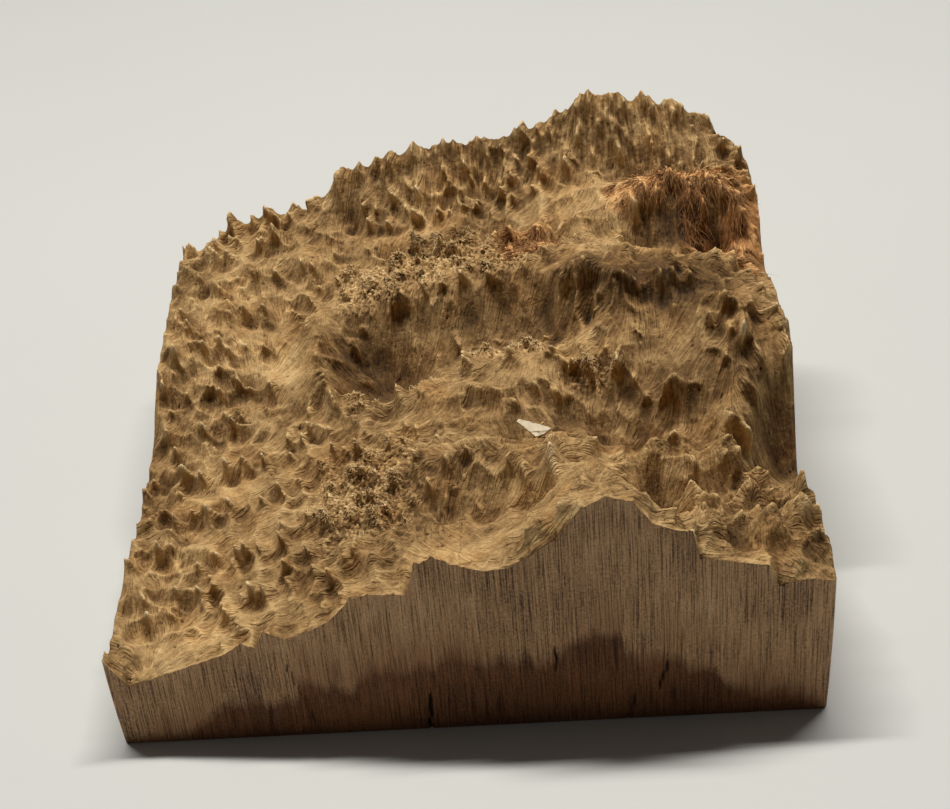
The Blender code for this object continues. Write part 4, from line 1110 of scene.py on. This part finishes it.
def grain_group():
    """Fine lines of grain along the surface's own flow, laid in two sets of small overlapping patches."""
    if "Combed grain" in bpy.data.node_groups:
        return bpy.data.node_groups["Combed grain"]
    tree = bpy.data.node_groups.new("Combed grain", "ShaderNodeTree")
    for name, default in (("Patch Size", 0.007), ("Line Spacing", 0.0007), ("Line Length", 0.014)):
        socket = tree.interface.new_socket(name, in_out="INPUT", socket_type="NodeSocketFloat")
        socket.default_value = default
    tree.interface.new_socket("Lines", in_out="OUTPUT", socket_type="NodeSocketFloat")
    given = add(tree, "NodeGroupInput").outputs
    place = add(tree, "ShaderNodeTexCoord").outputs["Object"]
    flow_x, flow_y = quality(tree, "flow x"), quality(tree, "flow y")
    scale = sums(tree, "DIVIDE", 1.0, given["Patch Size"])

    def vectors(operation, first, second):
        return add(tree, "ShaderNodeVectorMath", {0: first, 1: second}, operation=operation).outputs[0]

    def times(first, second):
        return sums(tree, "MULTIPLY", first, second)

    lines, shares = [], []
    for shift in (0.0, 0.35):
        moved = vectors("ADD", place, (shift, shift, shift))
        inputs = {"Vector": moved, "Scale": scale}
        patch = add(tree, "ShaderNodeTexVoronoi", inputs, feature="F1").outputs
        edge = add(tree, "ShaderNodeTexVoronoi", inputs, feature="DISTANCE_TO_EDGE").outputs
        local = vectors("SUBTRACT", moved, patch["Position"])
        x, y, _ = add(tree, "ShaderNodeSeparateXYZ", {0: local}).outputs
        along = sums(tree, "ADD", times(x, flow_x), times(y, flow_y))
        across = sums(tree, "SUBTRACT", times(y, flow_x), times(x, flow_y))
        own = add(tree, "ShaderNodeSeparateColor", {0: patch["Color"]}).outputs[0]
        spot = add(tree, "ShaderNodeCombineXYZ", {
            0: sums(tree, "DIVIDE", along, given["Line Length"]),
            1: sums(tree, "DIVIDE", across, given["Line Spacing"]),
            2: times(own, 40.0),
        }).outputs[0]
        streak = add(tree, "ShaderNodeTexNoise", {"Vector": spot, "Scale": 1.0, "Detail": 1.5})
        share = spread(tree, edge["Distance"], 0.0, 0.25, 0.02, 1.0)
        lines.append(times(streak.outputs[0], share))
        shares.append(share)
    total = sums(tree, "DIVIDE", sums(tree, "ADD", *lines), sums(tree, "ADD", *shares))
    add(tree, "NodeGroupOutput", {"Lines": spread(tree, total, 0.43, 0.54)})
    return tree


def shades(tree, value, stops):
    """A ramp of colours over a value from 0 to 1."""
    ramp = add(tree, "ShaderNodeValToRGB", {0: value})
    while len(ramp.color_ramp.elements) < len(stops):
        ramp.color_ramp.elements.new(0.5)
    for element, (position, colour) in zip(ramp.color_ramp.elements, stops):
        element.position = position
        element.color = (*colour, 1.0)
    return ramp.outputs[0]


def new_material(name, roughness):
    """A plain material: itself, its tree and its shader."""
    material = bpy.data.materials.new(name)
    material.use_nodes = True
    shader = material.node_tree.nodes["Principled BSDF"]
    shader.inputs["Roughness"].default_value = roughness
    shader.inputs["Specular IOR Level"].default_value = SHINE
    return material, material.node_tree, shader


def bumped(tree, height, strength, shader):
    """Half a millimetre of bumps on a finish."""
    inputs = {"Strength": strength, "Distance": 0.0005, "Height": height}
    tree.links.new(add(tree, "ShaderNodeBump", inputs).outputs[0], shader.inputs["Normal"])


@lru_cache(maxsize=None)
def burl_material():
    """The natural top: honey wood with combed grain and rust; painted shade darkens it in the scoops,
    creases and hollows, and painted light makes the tips, small ridges and steep faces paler.
    """
    colours = bpy.context.scene.burl.colours
    material, tree, shader = new_material("burl surface", 0.78)
    lines = add(tree, "ShaderNodeGroup", node_tree=grain_group()).outputs["Lines"]
    tone = PLAIN_TONE
    # Painted shade in the scoops, darker tallest tips, and painted light on steep faces.
    for name, *ranges in PAINTED_LIGHT_AND_SHADE:
        tone = sums(tree, "ADD", tone, spread(tree, quality(tree, name), *ranges))
    tone = sums(tree, "MULTIPLY_ADD", quality(tree, "detail"), DETAIL_TONE, tone)
    tone = sums(tree, "MULTIPLY_ADD", quality(tree, "grain"), GRAIN_TONE, tone)

    # The lines of grain come and go.
    strength = spread(tree, noise(tree, 55.0, 2.0, offset=13.0), 0.42, 0.6, 0.01, 0.1)
    tone = sums(tree, "MULTIPLY_ADD", sums(tree, "SUBTRACT", lines, 0.5), strength, tone)
    for scale, detail, roughness, offset, change in MOTTLES:
        mottle = noise(tree, scale, detail, roughness, offset=offset)
        tone = sums(tree, "ADD", tone, mottled(tree, mottle, change))
    # The paler and browner places, with the painted highlight on the front rim and painted shade in hollows
    # and on shaded walls.
    tone = sums(tree, "ADD", tone, quality(tree, "paler"))
    tone = sums(tree, "MULTIPLY_ADD", quality(tree, "pore"), PORE_TONE, tone)
    crumbs = spread(tree, noise(tree, 760.0, 4.0, 0.7, offset=6.0), 0.36, 0.64, -0.26, 0.28)
    tone = sums(tree, "MULTIPLY_ADD", quality(tree, "matted"), crumbs, tone, clamp=True)
    # The tone runs from painted shade in the scoops and hollows, through the wood's own colours, to painted
    # light on tips, ridges and steep faces.
    wood = shades(tree, tone, (
        (0.0, colours.hollow), (0.3, colours.shade), (0.52, colours.mid), (0.74, colours.honey),
        (1.0, colours.pale),
    ))
    warm = spread(tree, noise(tree, 75.0, 3.0, offset=11.0), 0.46, 0.68, 0.0, 0.4)
    wood = mixed(tree, warm, wood, (1.0, 0.8, 0.56, 1.0), blend="MULTIPLY")
    # The rust follows the same tone, so painted shade darkens it in the rusty hollow and on the mound's
    # front.
    ruddy = shades(tree, tone, (
        (0.1, colours.dark_rust), (0.45, colours.rust), (0.8, colours.bright_rust),
    ))
    patches = spread(tree, noise(tree, 220.0, 4.0, offset=7.0), 0.3, 0.6, 0.35, 1.0)
    rust = spread(tree, sums(tree, "MULTIPLY", quality(tree, "rust"), patches), 0.1, 0.65)
    tree.links.new(mixed(tree, rust, wood, ruddy), shader.inputs["Base Color"])
    tree.links.new(spread(tree, tone, 0.0, 1.0, 0.9, 0.68), shader.inputs["Roughness"])
    fine = noise(tree, 900.0, 4.0, 0.6, offset=1.0)
    bumped(tree, sums(tree, "MULTIPLY_ADD", lines, 0.7, fine), 0.8, shader)
    return material


@lru_cache(maxsize=None)
def sawn_material():
    """The sawn sides: grey-brown wood over a dark red-brown heart, with upright marks of the saw and painted
    shade in the checks.
    """
    colours = bpy.context.scene.burl.colours
    material, tree, shader = new_material("sawn sides", 0.62)
    lines, dashes, bands = (upright(tree, *marks) for marks in (SAW_LINES, SAW_DASHES, SAW_BANDS))
    cloud = noise(tree, 45.0, 4.0, 0.6, offset=2.0)
    specks = noise(tree, 1100.0, 3.0, 0.7, offset=3.0)
    above = quality(tree, "above heart")
    for jagged, reach in zip((bands, cloud), HEART_JAG):
        above = sums(tree, "MULTIPLY_ADD", sums(tree, "SUBTRACT", jagged, 0.5), reach, above)
    outside = spread(tree, above, -HEART_SOFT, HEART_SOFT)
    tone = sums(tree, "ADD", spread(tree, lines, 0.3, 0.7, 0.3, 0.7), mottled(tree, cloud, 0.2))
    tone = sums(tree, "ADD", tone, mottled(tree, specks, 0.22))
    tone = sums(tree, "ADD", tone, spread(tree, dashes, 0.36, 0.46, -0.24, 0.02), clamp=True)
    outer = shades(tree, tone, ((0.05, colours.saw_dark), (0.5, colours.sawn), (0.95, colours.saw_pale)))
    fading = spread(tree, above, 0.0, 22.0, 0.75, 0.0)
    stained = sums(tree, "MULTIPLY", fading, spread(tree, cloud, 0.42, 0.6))
    outer = mixed(tree, stained, outer, (*colours.red, 1.0))
    heart = shades(tree, tone, ((0.1, colours.heart_dark), (0.75, colours.heart)))
    colour = mixed(tree, outside, heart, outer)
    # Painted shade in the checks: they are coloured as dark as the deepest scoops.
    painted_check_shade = spread(tree, quality(tree, "check"), 0.1, 0.6)
    colour = mixed(tree, painted_check_shade, colour, (*colours.hollow, 1.0))
    tree.links.new(colour, shader.inputs["Base Color"])
    marks = sums(tree, "ADD", spread(tree, dashes, 0.34, 0.46), sums(tree, "MULTIPLY", specks, 1.2))
    bumped(tree, marks, 0.9, shader)
    return material


def strand_tree():
    """Geometry Nodes that stand a tapered, bent strand on every root."""
    tree = bpy.data.node_groups.new("Strands on roots", "GeometryNodeTree")
    sockets = (
        ("Roots", "NodeSocketGeometry", None),
        ("Sides", "NodeSocketInt", 3),
        ("Joints", "NodeSocketInt", 4),
        ("Tip", "NodeSocketFloat", 0.1),
        ("Wave Size", "NodeSocketFloat", 0.003),
        ("Wave Reach", "NodeSocketFloat", 0.001),
        ("Material", "NodeSocketMaterial", None),
    )
    for name, kind, default in sockets:
        socket = tree.interface.new_socket(name, in_out="INPUT", socket_type=kind)
        if default is not None:
            socket.default_value = default
    tree.interface.new_socket("Geometry", in_out="OUTPUT", socket_type="NodeSocketGeometry")
    given = add(tree, "NodeGroupInput").outputs

    def made(kind, inputs=None, output=0, **settings):
        return add(tree, kind, inputs, **settings).outputs[output]

    def stored(name, kind):
        return made("GeometryNodeInputNamedAttribute", {"Name": name}, data_type=kind)

    def scaled(vector, share):
        return made("ShaderNodeVectorMath", {0: vector, "Scale": share}, operation="SCALE")

    strand = made("GeometryNodeMeshCone", {
        "Vertices": given["Sides"], "Side Segments": given["Joints"], "Radius Top": given["Tip"],
        "Radius Bottom": 1.0, "Depth": 1.0,
    }, fill_type="NGON")
    height = made("ShaderNodeSeparateXYZ", {0: made("GeometryNodeInputPosition")}, 2)
    marked = made("GeometryNodeStoreNamedAttribute", {
        "Geometry": strand, "Name": "along", "Value": height,
    }, data_type="FLOAT", domain="POINT")
    aim, girth = stored("aim", "FLOAT_VECTOR"), stored("girth", "FLOAT")
    long = made("ShaderNodeVectorMath", {0: aim}, "Value", operation="LENGTH")
    stood = made("GeometryNodeInstanceOnPoints", {
        "Points": given["Roots"],
        "Instance": marked,
        "Rotation": made("FunctionNodeAlignRotationToVector", {"Vector": aim}, axis="Z"),
        "Scale": made("ShaderNodeCombineXYZ", {0: girth, 1: girth, 2: long}),
    })
    real = made("GeometryNodeRealizeInstances", {"Geometry": stood})
    along, toss = stored("along", "FLOAT"), stored("toss", "FLOAT")
    waves = made("ShaderNodeTexNoise", {
        "Vector": made("GeometryNodeInputPosition"),
        "W": sums(tree, "MULTIPLY", toss, 50.0),
        "Scale": sums(tree, "DIVIDE", 1.0, given["Wave Size"]),
        "Detail": 1.0,
    }, "Color", noise_dimensions="4D")
    centred = made("ShaderNodeVectorMath", {0: waves, 1: (0.5, 0.5, 0.5)}, operation="SUBTRACT")
    waved = scaled(centred, sums(tree, "MULTIPLY", along, given["Wave Reach"]))
    sagging = scaled(stored("sag", "FLOAT_VECTOR"), sums(tree, "MULTIPLY", along, along))
    shift = made("ShaderNodeVectorMath", {0: sagging, 1: waved}, operation="ADD")
    bent = made("GeometryNodeSetPosition", {"Geometry": real, "Offset": shift})
    rounded = made("GeometryNodeSetShadeSmooth", {"Geometry": bent})
    finished = made("GeometryNodeSetMaterial", {"Geometry": rounded, "Material": given["Material"]})
    add(tree, "NodeGroupOutput", {"Geometry": finished})
    return tree


def grown(name, roots, settings):
    """A piece of strands, one on each root. A root has its place, aim, sag, girth and toss."""
    places, aims, sags, girths, tosses = (np.array(column, np.float32) for column in zip(*roots))
    holder = new_piece(f"{name} roots", places, [])
    for label, values in (("aim", aims), ("sag", sags)):
        layer = holder.data.attributes.new(label, "FLOAT_VECTOR", "POINT")
        layer.data.foreach_set("vector", (values * MILLIMETRE).ravel())
    for label, values in (("girth", girths * MILLIMETRE), ("toss", tosses)):
        holder.data.attributes.new(label, "FLOAT", "POINT").data.foreach_set("value", values)
    modifier = holder.modifiers.new("strands", "NODES")
    modifier.node_group = strand_tree()
    for socket in modifier.node_group.interface.items_tree:
        if socket.in_out == "INPUT" and socket.name in settings:
            modifier[socket.identifier] = settings[socket.name]
    evaluated = holder.evaluated_get(bpy.context.evaluated_depsgraph_get())
    strands = bpy.data.meshes.new_from_object(evaluated)
    strands.name = name
    bpy.data.objects.remove(holder)
    piece = bpy.data.objects.new(name, strands)
    bpy.context.scene.collection.objects.link(piece)
    return piece


def seat(piece):
    """Every piece belongs to the block: it rides on its body and stands for its node."""
    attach(piece, BODY)
    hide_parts(NODE)


def roots_in(weight, number, seed, length, girth, rise, sag):
    """Roots on the surface, more of them where the weight is high, with strands that lean downhill."""
    points, found = top_points()
    draw = np.random.default_rng(seed)
    weight = np.clip(weight, 0, None)
    chosen = draw.choice(weight.size, number, p=(weight / weight.sum()).ravel())
    flat = points.reshape(-1, 3)
    tangent_x, tangent_y = np.gradient(points, axis=0), np.gradient(points, axis=1)
    normals = np.cross(tangent_x, tangent_y).reshape(-1, 3)
    normals /= np.linalg.norm(normals, axis=1)[:, None]
    flow_x, flow_y = found["flow x"].ravel(), found["flow y"].ravel()
    slope = found["slope"].ravel()
    for at in chosen:
        normal = normals[at]
        down = np.array([flow_x[at], flow_y[at], -slope[at]])
        down /= np.linalg.norm(down)
        side = np.cross(normal, down)
        long = length * math.exp(LENGTH_SPREAD * draw.normal())
        raised = rise + RISE_SPREAD * draw.normal()
        aim = normal * raised + down * (1 - abs(raised)) + side * SIDE_SPREAD * draw.normal()
        aim *= long / np.linalg.norm(aim)
        drop = (down * SAG_DOWN + np.array([0, 0, -SAG_FALL])) * sag * long
        drop = drop + side * SAG_ASIDE * sag * long * draw.normal()
        place = flat[at] + draw.uniform(-RASTER, RASTER, 3) * (1, 1, 0) - normal * STRAND_SUNK
        yield place, aim, drop, girth * math.exp(GIRTH_SPREAD * draw.normal()), draw.random()


def stranded(name, weight, number, length, seed, strand, material):
    """Grows a piece of loose strands where the weight is high."""
    joints, girth, rise, sag, wave_size, wave_reach = strand
    roots = list(roots_in(weight, number, seed, length / MILLIMETRE, girth, rise, sag))
    settings = {"Joints": joints, "Wave Size": wave_size, "Wave Reach": wave_reach}
    seat(grown(name, roots, {**settings, "Material": material}))


def fibre_material(name, dark, light, tip):
    """Loose strands: their own shade each, and another colour towards the tip."""
    material, tree, shader = new_material(name, 0.7)
    own = mixed(tree, quality(tree, "toss"), (*dark, 1.0), (*light, 1.0))
    colour = mixed(tree, spread(tree, quality(tree, "along"), 0.4, 1.1), own, (*tip, 1.0))
    tree.links.new(colour, shader.inputs["Base Color"])
    return material


def length_property(name, description, default):
    """A setting in the scene's unit of length."""
    return bpy.props.FloatProperty(name=name, description=description, default=default, unit="LENGTH")


class BlockSizes(bpy.types.PropertyGroup):
    """Relief that is finer than the solid's."""

    flute_depth: length_property("Flutes", "Depth of the flutes on the steep sides", 0.0004)
    scoop_depth: length_property("Small scoops", "Depth of the small scoops", 0.0006)
    fray_depth: length_property("Fray", "Depth of the frayed lines along the crests", 0.0004)
    crumb_depth: length_property("Crumbs", "Height of the crumbs on the matted places", 0.0006)
    grain_depth: length_property("Grain", "Depth of the combed grain", 0.00012)
    pore_depth: length_property("Pores", "Depth of the pores", 0.0008)
    ring_depth: length_property("Rings", "Depth of the rings round the knots", 0.0002)
    sharpening: bpy.props.FloatProperty(
        name="Sharpening", description="How much ridges and creases are sharpened", default=0.7
    )
    tip_lean: bpy.props.FloatProperty(
        name="Lean", description="How much tips lean out with the ground, over its slope", default=1.3
    )


class FibreSizes(bpy.types.PropertyGroup):
    """Fibres and tufts."""

    rust_count: bpy.props.IntProperty(
        name="Rust fibres", description="Number of fibres on the rusty mound", default=5200
    )
    rust_length: length_property("Rust length", "Length of a rust fibre", 0.0036)
    tuft_count: bpy.props.IntProperty(
        name="Tufts", description="Number of splinters along the crests", default=4200
    )
    tuft_length: length_property("Tuft length", "Length of a splinter", 0.001)


def colour_property(name, description, default):
    """A setting with a colour picker."""
    return bpy.props.FloatVectorProperty(
        name=name, description=description, subtype="COLOR", size=3, min=0.0, max=1.0, default=default
    )


class WoodColours(bpy.types.PropertyGroup):
    """Colours of the wood and the table."""

    # Hollow and shade are the painted shade of the scoops, creases and hollows; hollow also paints the shade
    # in the checks.
    hollow: colour_property("Hollow", "Deepest scoops", (0.036, 0.017, 0.005))
    shade: colour_property("Shade", "Lower sides of the thorns", (0.15, 0.08, 0.025))
    mid: colour_property("Middle", "Most of the top", (0.34, 0.205, 0.08))
    honey: colour_property("Honey", "Ridges and smooth places", (0.56, 0.37, 0.16))
    # Pale is reached where painted light lifts the tone on tips, ridges and steep faces, and in the paler
    # places.
    pale: colour_property("Pale", "Bleached tips", (0.76, 0.58, 0.32))
    # Dark rust is the painted shade of the rusty hollow and of the mound's front.
    dark_rust: colour_property("Dark rust", "Depths of the rusty mound", (0.05, 0.019, 0.007))
    rust: colour_property("Rust", "The rusty mound", (0.4, 0.175, 0.055))
    bright_rust: colour_property("Bright rust", "Tips on the rusty mound", (0.85, 0.5, 0.2))
    saw_dark: colour_property("Saw lines", "Dark lines of the sawn sides", (0.12, 0.06, 0.03))
    sawn: colour_property("Sawn", "Sawn sides", (0.54, 0.315, 0.155))
    saw_pale: colour_property("Sawn, pale", "Palest of the sawn sides", (0.76, 0.49, 0.27))
    heart_dark: colour_property("Heart lines", "Dark lines of the heartwood", (0.06, 0.024, 0.01))
    heart: colour_property("Heart", "Heartwood at the foot", (0.26, 0.105, 0.038))
    red: colour_property("Reddish", "Stained wood over the heart", (0.3, 0.125, 0.05))
    chip: colour_property("Chip", "The pale chip", (0.86, 0.74, 0.53))
    table: colour_property("Table", "The table top", (0.545, 0.545, 0.515))


class BurlSettings(bpy.types.PropertyGroup):
    """All settings of the burl."""

    sizes: bpy.props.PointerProperty(type=BlockSizes)
    fibres: bpy.props.PointerProperty(type=FibreSizes)
    colours: bpy.props.PointerProperty(type=WoodColours)


class BURL_OT_block(bpy.types.Operator):
    """Builds the block, in four quarters that meet inside it, from the settings as they are now."""

    bl_idname = "burl.block"
    bl_label = "Block"

    def execute(self, context):
        for remembered in (surface, top_points, burl_material, sawn_material):
            remembered.cache_clear()
        points, _ = top_points()
        columns, rows = points.shape[0] - 1, points.shape[1] - 1
        for side, *across in (("left", 0, columns // 2), ("right", columns // 2, columns)):
            for end, *along in (("front", 0, rows // 2), ("back", rows // 2, rows)):
                piece = quarter(f"burl_{end}_{side}", *across, *along)
                piece.data.materials.append(burl_material())
                piece.data.materials.append(sawn_material())
                seat(piece)
        return {"FINISHED"}


class BURL_OT_rust_fibres(bpy.types.Operator):
    """Grows the rust-coloured fibres on the mound at the back right."""

    bl_idname = "burl.rust_fibres"
    bl_label = "Rust fibres"

    def execute(self, context):
        sizes, colours = context.scene.burl.fibres, context.scene.burl.colours
        points, found = top_points()
        weight = np.clip(found["rust"] - 0.3, 0, 1) * np.clip(4 * found["inside"] - 3, 0, 1)
        weight *= 1 - eased(points[..., 0], *RUST_END)
        material = fibre_material("rust fibres", colours.dark_rust, colours.rust, colours.bright_rust)
        stranded(
            "rust_fibres", weight, sizes.rust_count, sizes.rust_length, SEED + 10, RUST_FIBRE, material
        )
        return {"FINISHED"}


class BURL_OT_tufts(bpy.types.Operator):
    """Stands frayed splinters along the crests."""

    bl_idname = "burl.tufts"
    bl_label = "Frayed tufts"

    def execute(self, context):
        sizes, colours = context.scene.burl.fibres, context.scene.burl.colours
        _, found = top_points()
        weight = eased(found["stands"], 0.6, 2.0) * np.clip(found["matted"] - 0.2, 0, 1)
        weight = weight * (1 - found["rust"]) * found["inside"]
        material = fibre_material("tufts", colours.mid, colours.honey, colours.pale)
        stranded(
            "frayed_tufts", weight, sizes.tuft_count, sizes.tuft_length, SEED + 11, SPLINTER, material
        )
        return {"FINISHED"}


def chip_material():
    """The chip: pale split wood with painted shade along its cracks."""
    colours = bpy.context.scene.burl.colours
    material, tree, shader = new_material("chip", 0.6)
    # Painted shade of the cracks: dark lines drawn along the chip.
    cracks = spread(tree, noise(tree, 1.0, 3.0, 0.6, stretch=(160, 700, 700)), 0.4, 0.5)
    tone = sums(tree, "MULTIPLY", cracks, spread(tree, noise(tree, 500.0), 0.3, 0.5, 0.75, 1.0))
    colour = mixed(tree, tone, (*colours.shade, 1.0), (*colours.chip, 1.0))
    tree.links.new(colour, shader.inputs["Base Color"])
    return material


class BURL_OT_chip(bpy.types.Operator):
    """Lays the pale chip in the dip before the second crest."""

    bl_idname = "burl.chip"
    bl_label = "Chip"

    def execute(self, context):
        xs, ys, grids = surface()
        outline = np.array(CHIP_OUTLINE)
        middle = outline.mean(0)
        upward = np.array([0.0, math.cos(CHIP_LEAN), math.sin(CHIP_LEAN)])
        outward = np.array([0.0, -math.sin(CHIP_LEAN), math.cos(CHIP_LEAN)])
        layers = []
        for thick, share in CHIP_LAYERS:
            flat = (outline - middle) * share + middle
            level = flat[:, :1] * (1.0, 0.0, 0.0) + flat[:, 1:] * upward
            layers.append(level + thick * CHIP_THICK * outward)
        vertices = np.concatenate(layers) + (*CHIP_PLACE, 0.0)
        under = sample(xs, ys, grids["height"], vertices[:, 0], vertices[:, 1])
        vertices[:, 2] += (under - vertices[:, 2]).max() - CHIP_SUNK
        count = len(outline)
        faces = [list(range(count))[::-1], list(range(2 * count, 3 * count))]
        for low in (0, count):
            for k in range(count):
                after = (k + 1) % count
                faces.append([low + k, low + after, low + count + after, low + count + k])
        piece = new_piece("chip", vertices, faces)
        piece.data.materials.append(chip_material())
        seat(piece)
        return {"FINISHED"}


def camera_axes(pitch, yaw, roll):
    """The camera's right, up and backward directions."""
    pitch, yaw, roll = map(math.radians, (pitch, yaw, roll))
    level = Vector((-math.sin(yaw), math.cos(yaw), 0.0)) * math.cos(pitch)
    ahead = level - Vector((0.0, 0.0, math.sin(pitch)))
    right = Vector((math.cos(yaw), math.sin(yaw), 0.0))
    up = right.cross(ahead)
    turned_right = right * math.cos(roll) + up * math.sin(roll)
    turned_up = up * math.cos(roll) - right * math.sin(roll)
    return turned_right, turned_up, -ahead


def area_light(name, place, aim, size, power, colour):
    """A rectangular lamp that points at a place."""
    light = bpy.data.lights.new(name, "AREA")
    light.shape = "RECTANGLE"
    light.size, light.size_y = size
    light.energy = power
    light.color = colour
    lamp = bpy.data.objects.new(name, light)
    lamp.location = place
    lamp.rotation_euler = (Vector(aim) - Vector(place)).to_track_quat("-Z", "Y").to_euler()
    bpy.context.scene.collection.objects.link(lamp)


class BURL_OT_stage(bpy.types.Operator):
    """Lays the table, hangs the lights and sets up the camera."""

    bl_idname = "burl.stage"
    bl_label = "Stage"

    def execute(self, context):
        scene = context.scene
        colours = scene.burl.colours
        half = TABLE_SIZE / 2
        corners = [(-half, -half, 0), (half, -half, 0), (half, half, 0), (-half, half, 0)]
        table = new_piece("table", corners, [(0, 1, 2, 3)], scale=1.0)
        material, tree, shader = new_material("table", 0.55)
        cloud = spread(tree, noise(tree, 6.0, 4.0), 0.3, 0.7, 0.0, 0.06)
        colour = mixed(tree, cloud, (*colours.table, 1.0), (0.4, 0.4, 0.38, 1.0))
        tree.links.new(colour, shader.inputs["Base Color"])
        table.data.materials.append(material)

        for name, lamp in LAMPS.items():
            area_light(name, *lamp)
        world = bpy.data.worlds.new("room")
        world.use_nodes = True
        room = world.node_tree.nodes["Background"].inputs
        room["Color"].default_value = ROOM_COLOUR
        room["Strength"].default_value = ROOM_LIGHT
        scene.world = world
        scene.view_settings.view_transform = "Standard"

        lens = bpy.data.cameras.new("camera")
        lens.sensor_width = SENSOR
        lens.lens = CAMERA_LENS
        lens.clip_start = 0.01
        camera = bpy.data.objects.new("camera", lens)
        right, up, back = camera_axes(CAMERA_PITCH, CAMERA_YAW, CAMERA_ROLL)
        place = Vector(CAMERA_PLACE) * MILLIMETRE
        rows = [(right[k], up[k], back[k], place[k]) for k in range(3)]
        camera.matrix_world = Matrix([*rows, (0.0, 0.0, 0.0, 1.0)])
        scene.collection.objects.link(camera)
        scene.camera = camera
        return {"FINISHED"}


class BURL_PT_panel(bpy.types.Panel):
    """Settings of the burl bowl blank and the steps that build it."""

    bl_label = "Burl bowl blank"
    bl_idname = "BURL_PT_panel"
    bl_space_type = "VIEW_3D"
    bl_region_type = "UI"
    bl_category = "Burl"

    def draw(self, context):
        for group in (context.scene.burl.sizes, context.scene.burl.fibres, context.scene.burl.colours):
            box = self.layout.box()
            for name in group.__annotations__:
                box.prop(group, name)
        for operator in STEPS:
            self.layout.operator(operator.bl_idname)


STEPS = (BURL_OT_stage, BURL_OT_block, BURL_OT_rust_fibres, BURL_OT_tufts, BURL_OT_chip)
CLASSES = (BlockSizes, FibreSizes, WoodColours, BurlSettings, *STEPS, BURL_PT_panel)


def register():
    for kind in CLASSES:
        bpy.utils.register_class(kind)
    bpy.types.Scene.burl = bpy.props.PointerProperty(type=BurlSettings)


def unregister():
    del bpy.types.Scene.burl
    for kind in reversed(CLASSES):
        bpy.utils.unregister_class(kind)


def main():
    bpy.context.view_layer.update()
    register()
    bpy.ops.burl.stage()
    bpy.ops.burl.block()
    bpy.ops.burl.rust_fibres()
    bpy.ops.burl.tufts()
    bpy.ops.burl.chip()


if __name__ == "__main__":
    main()
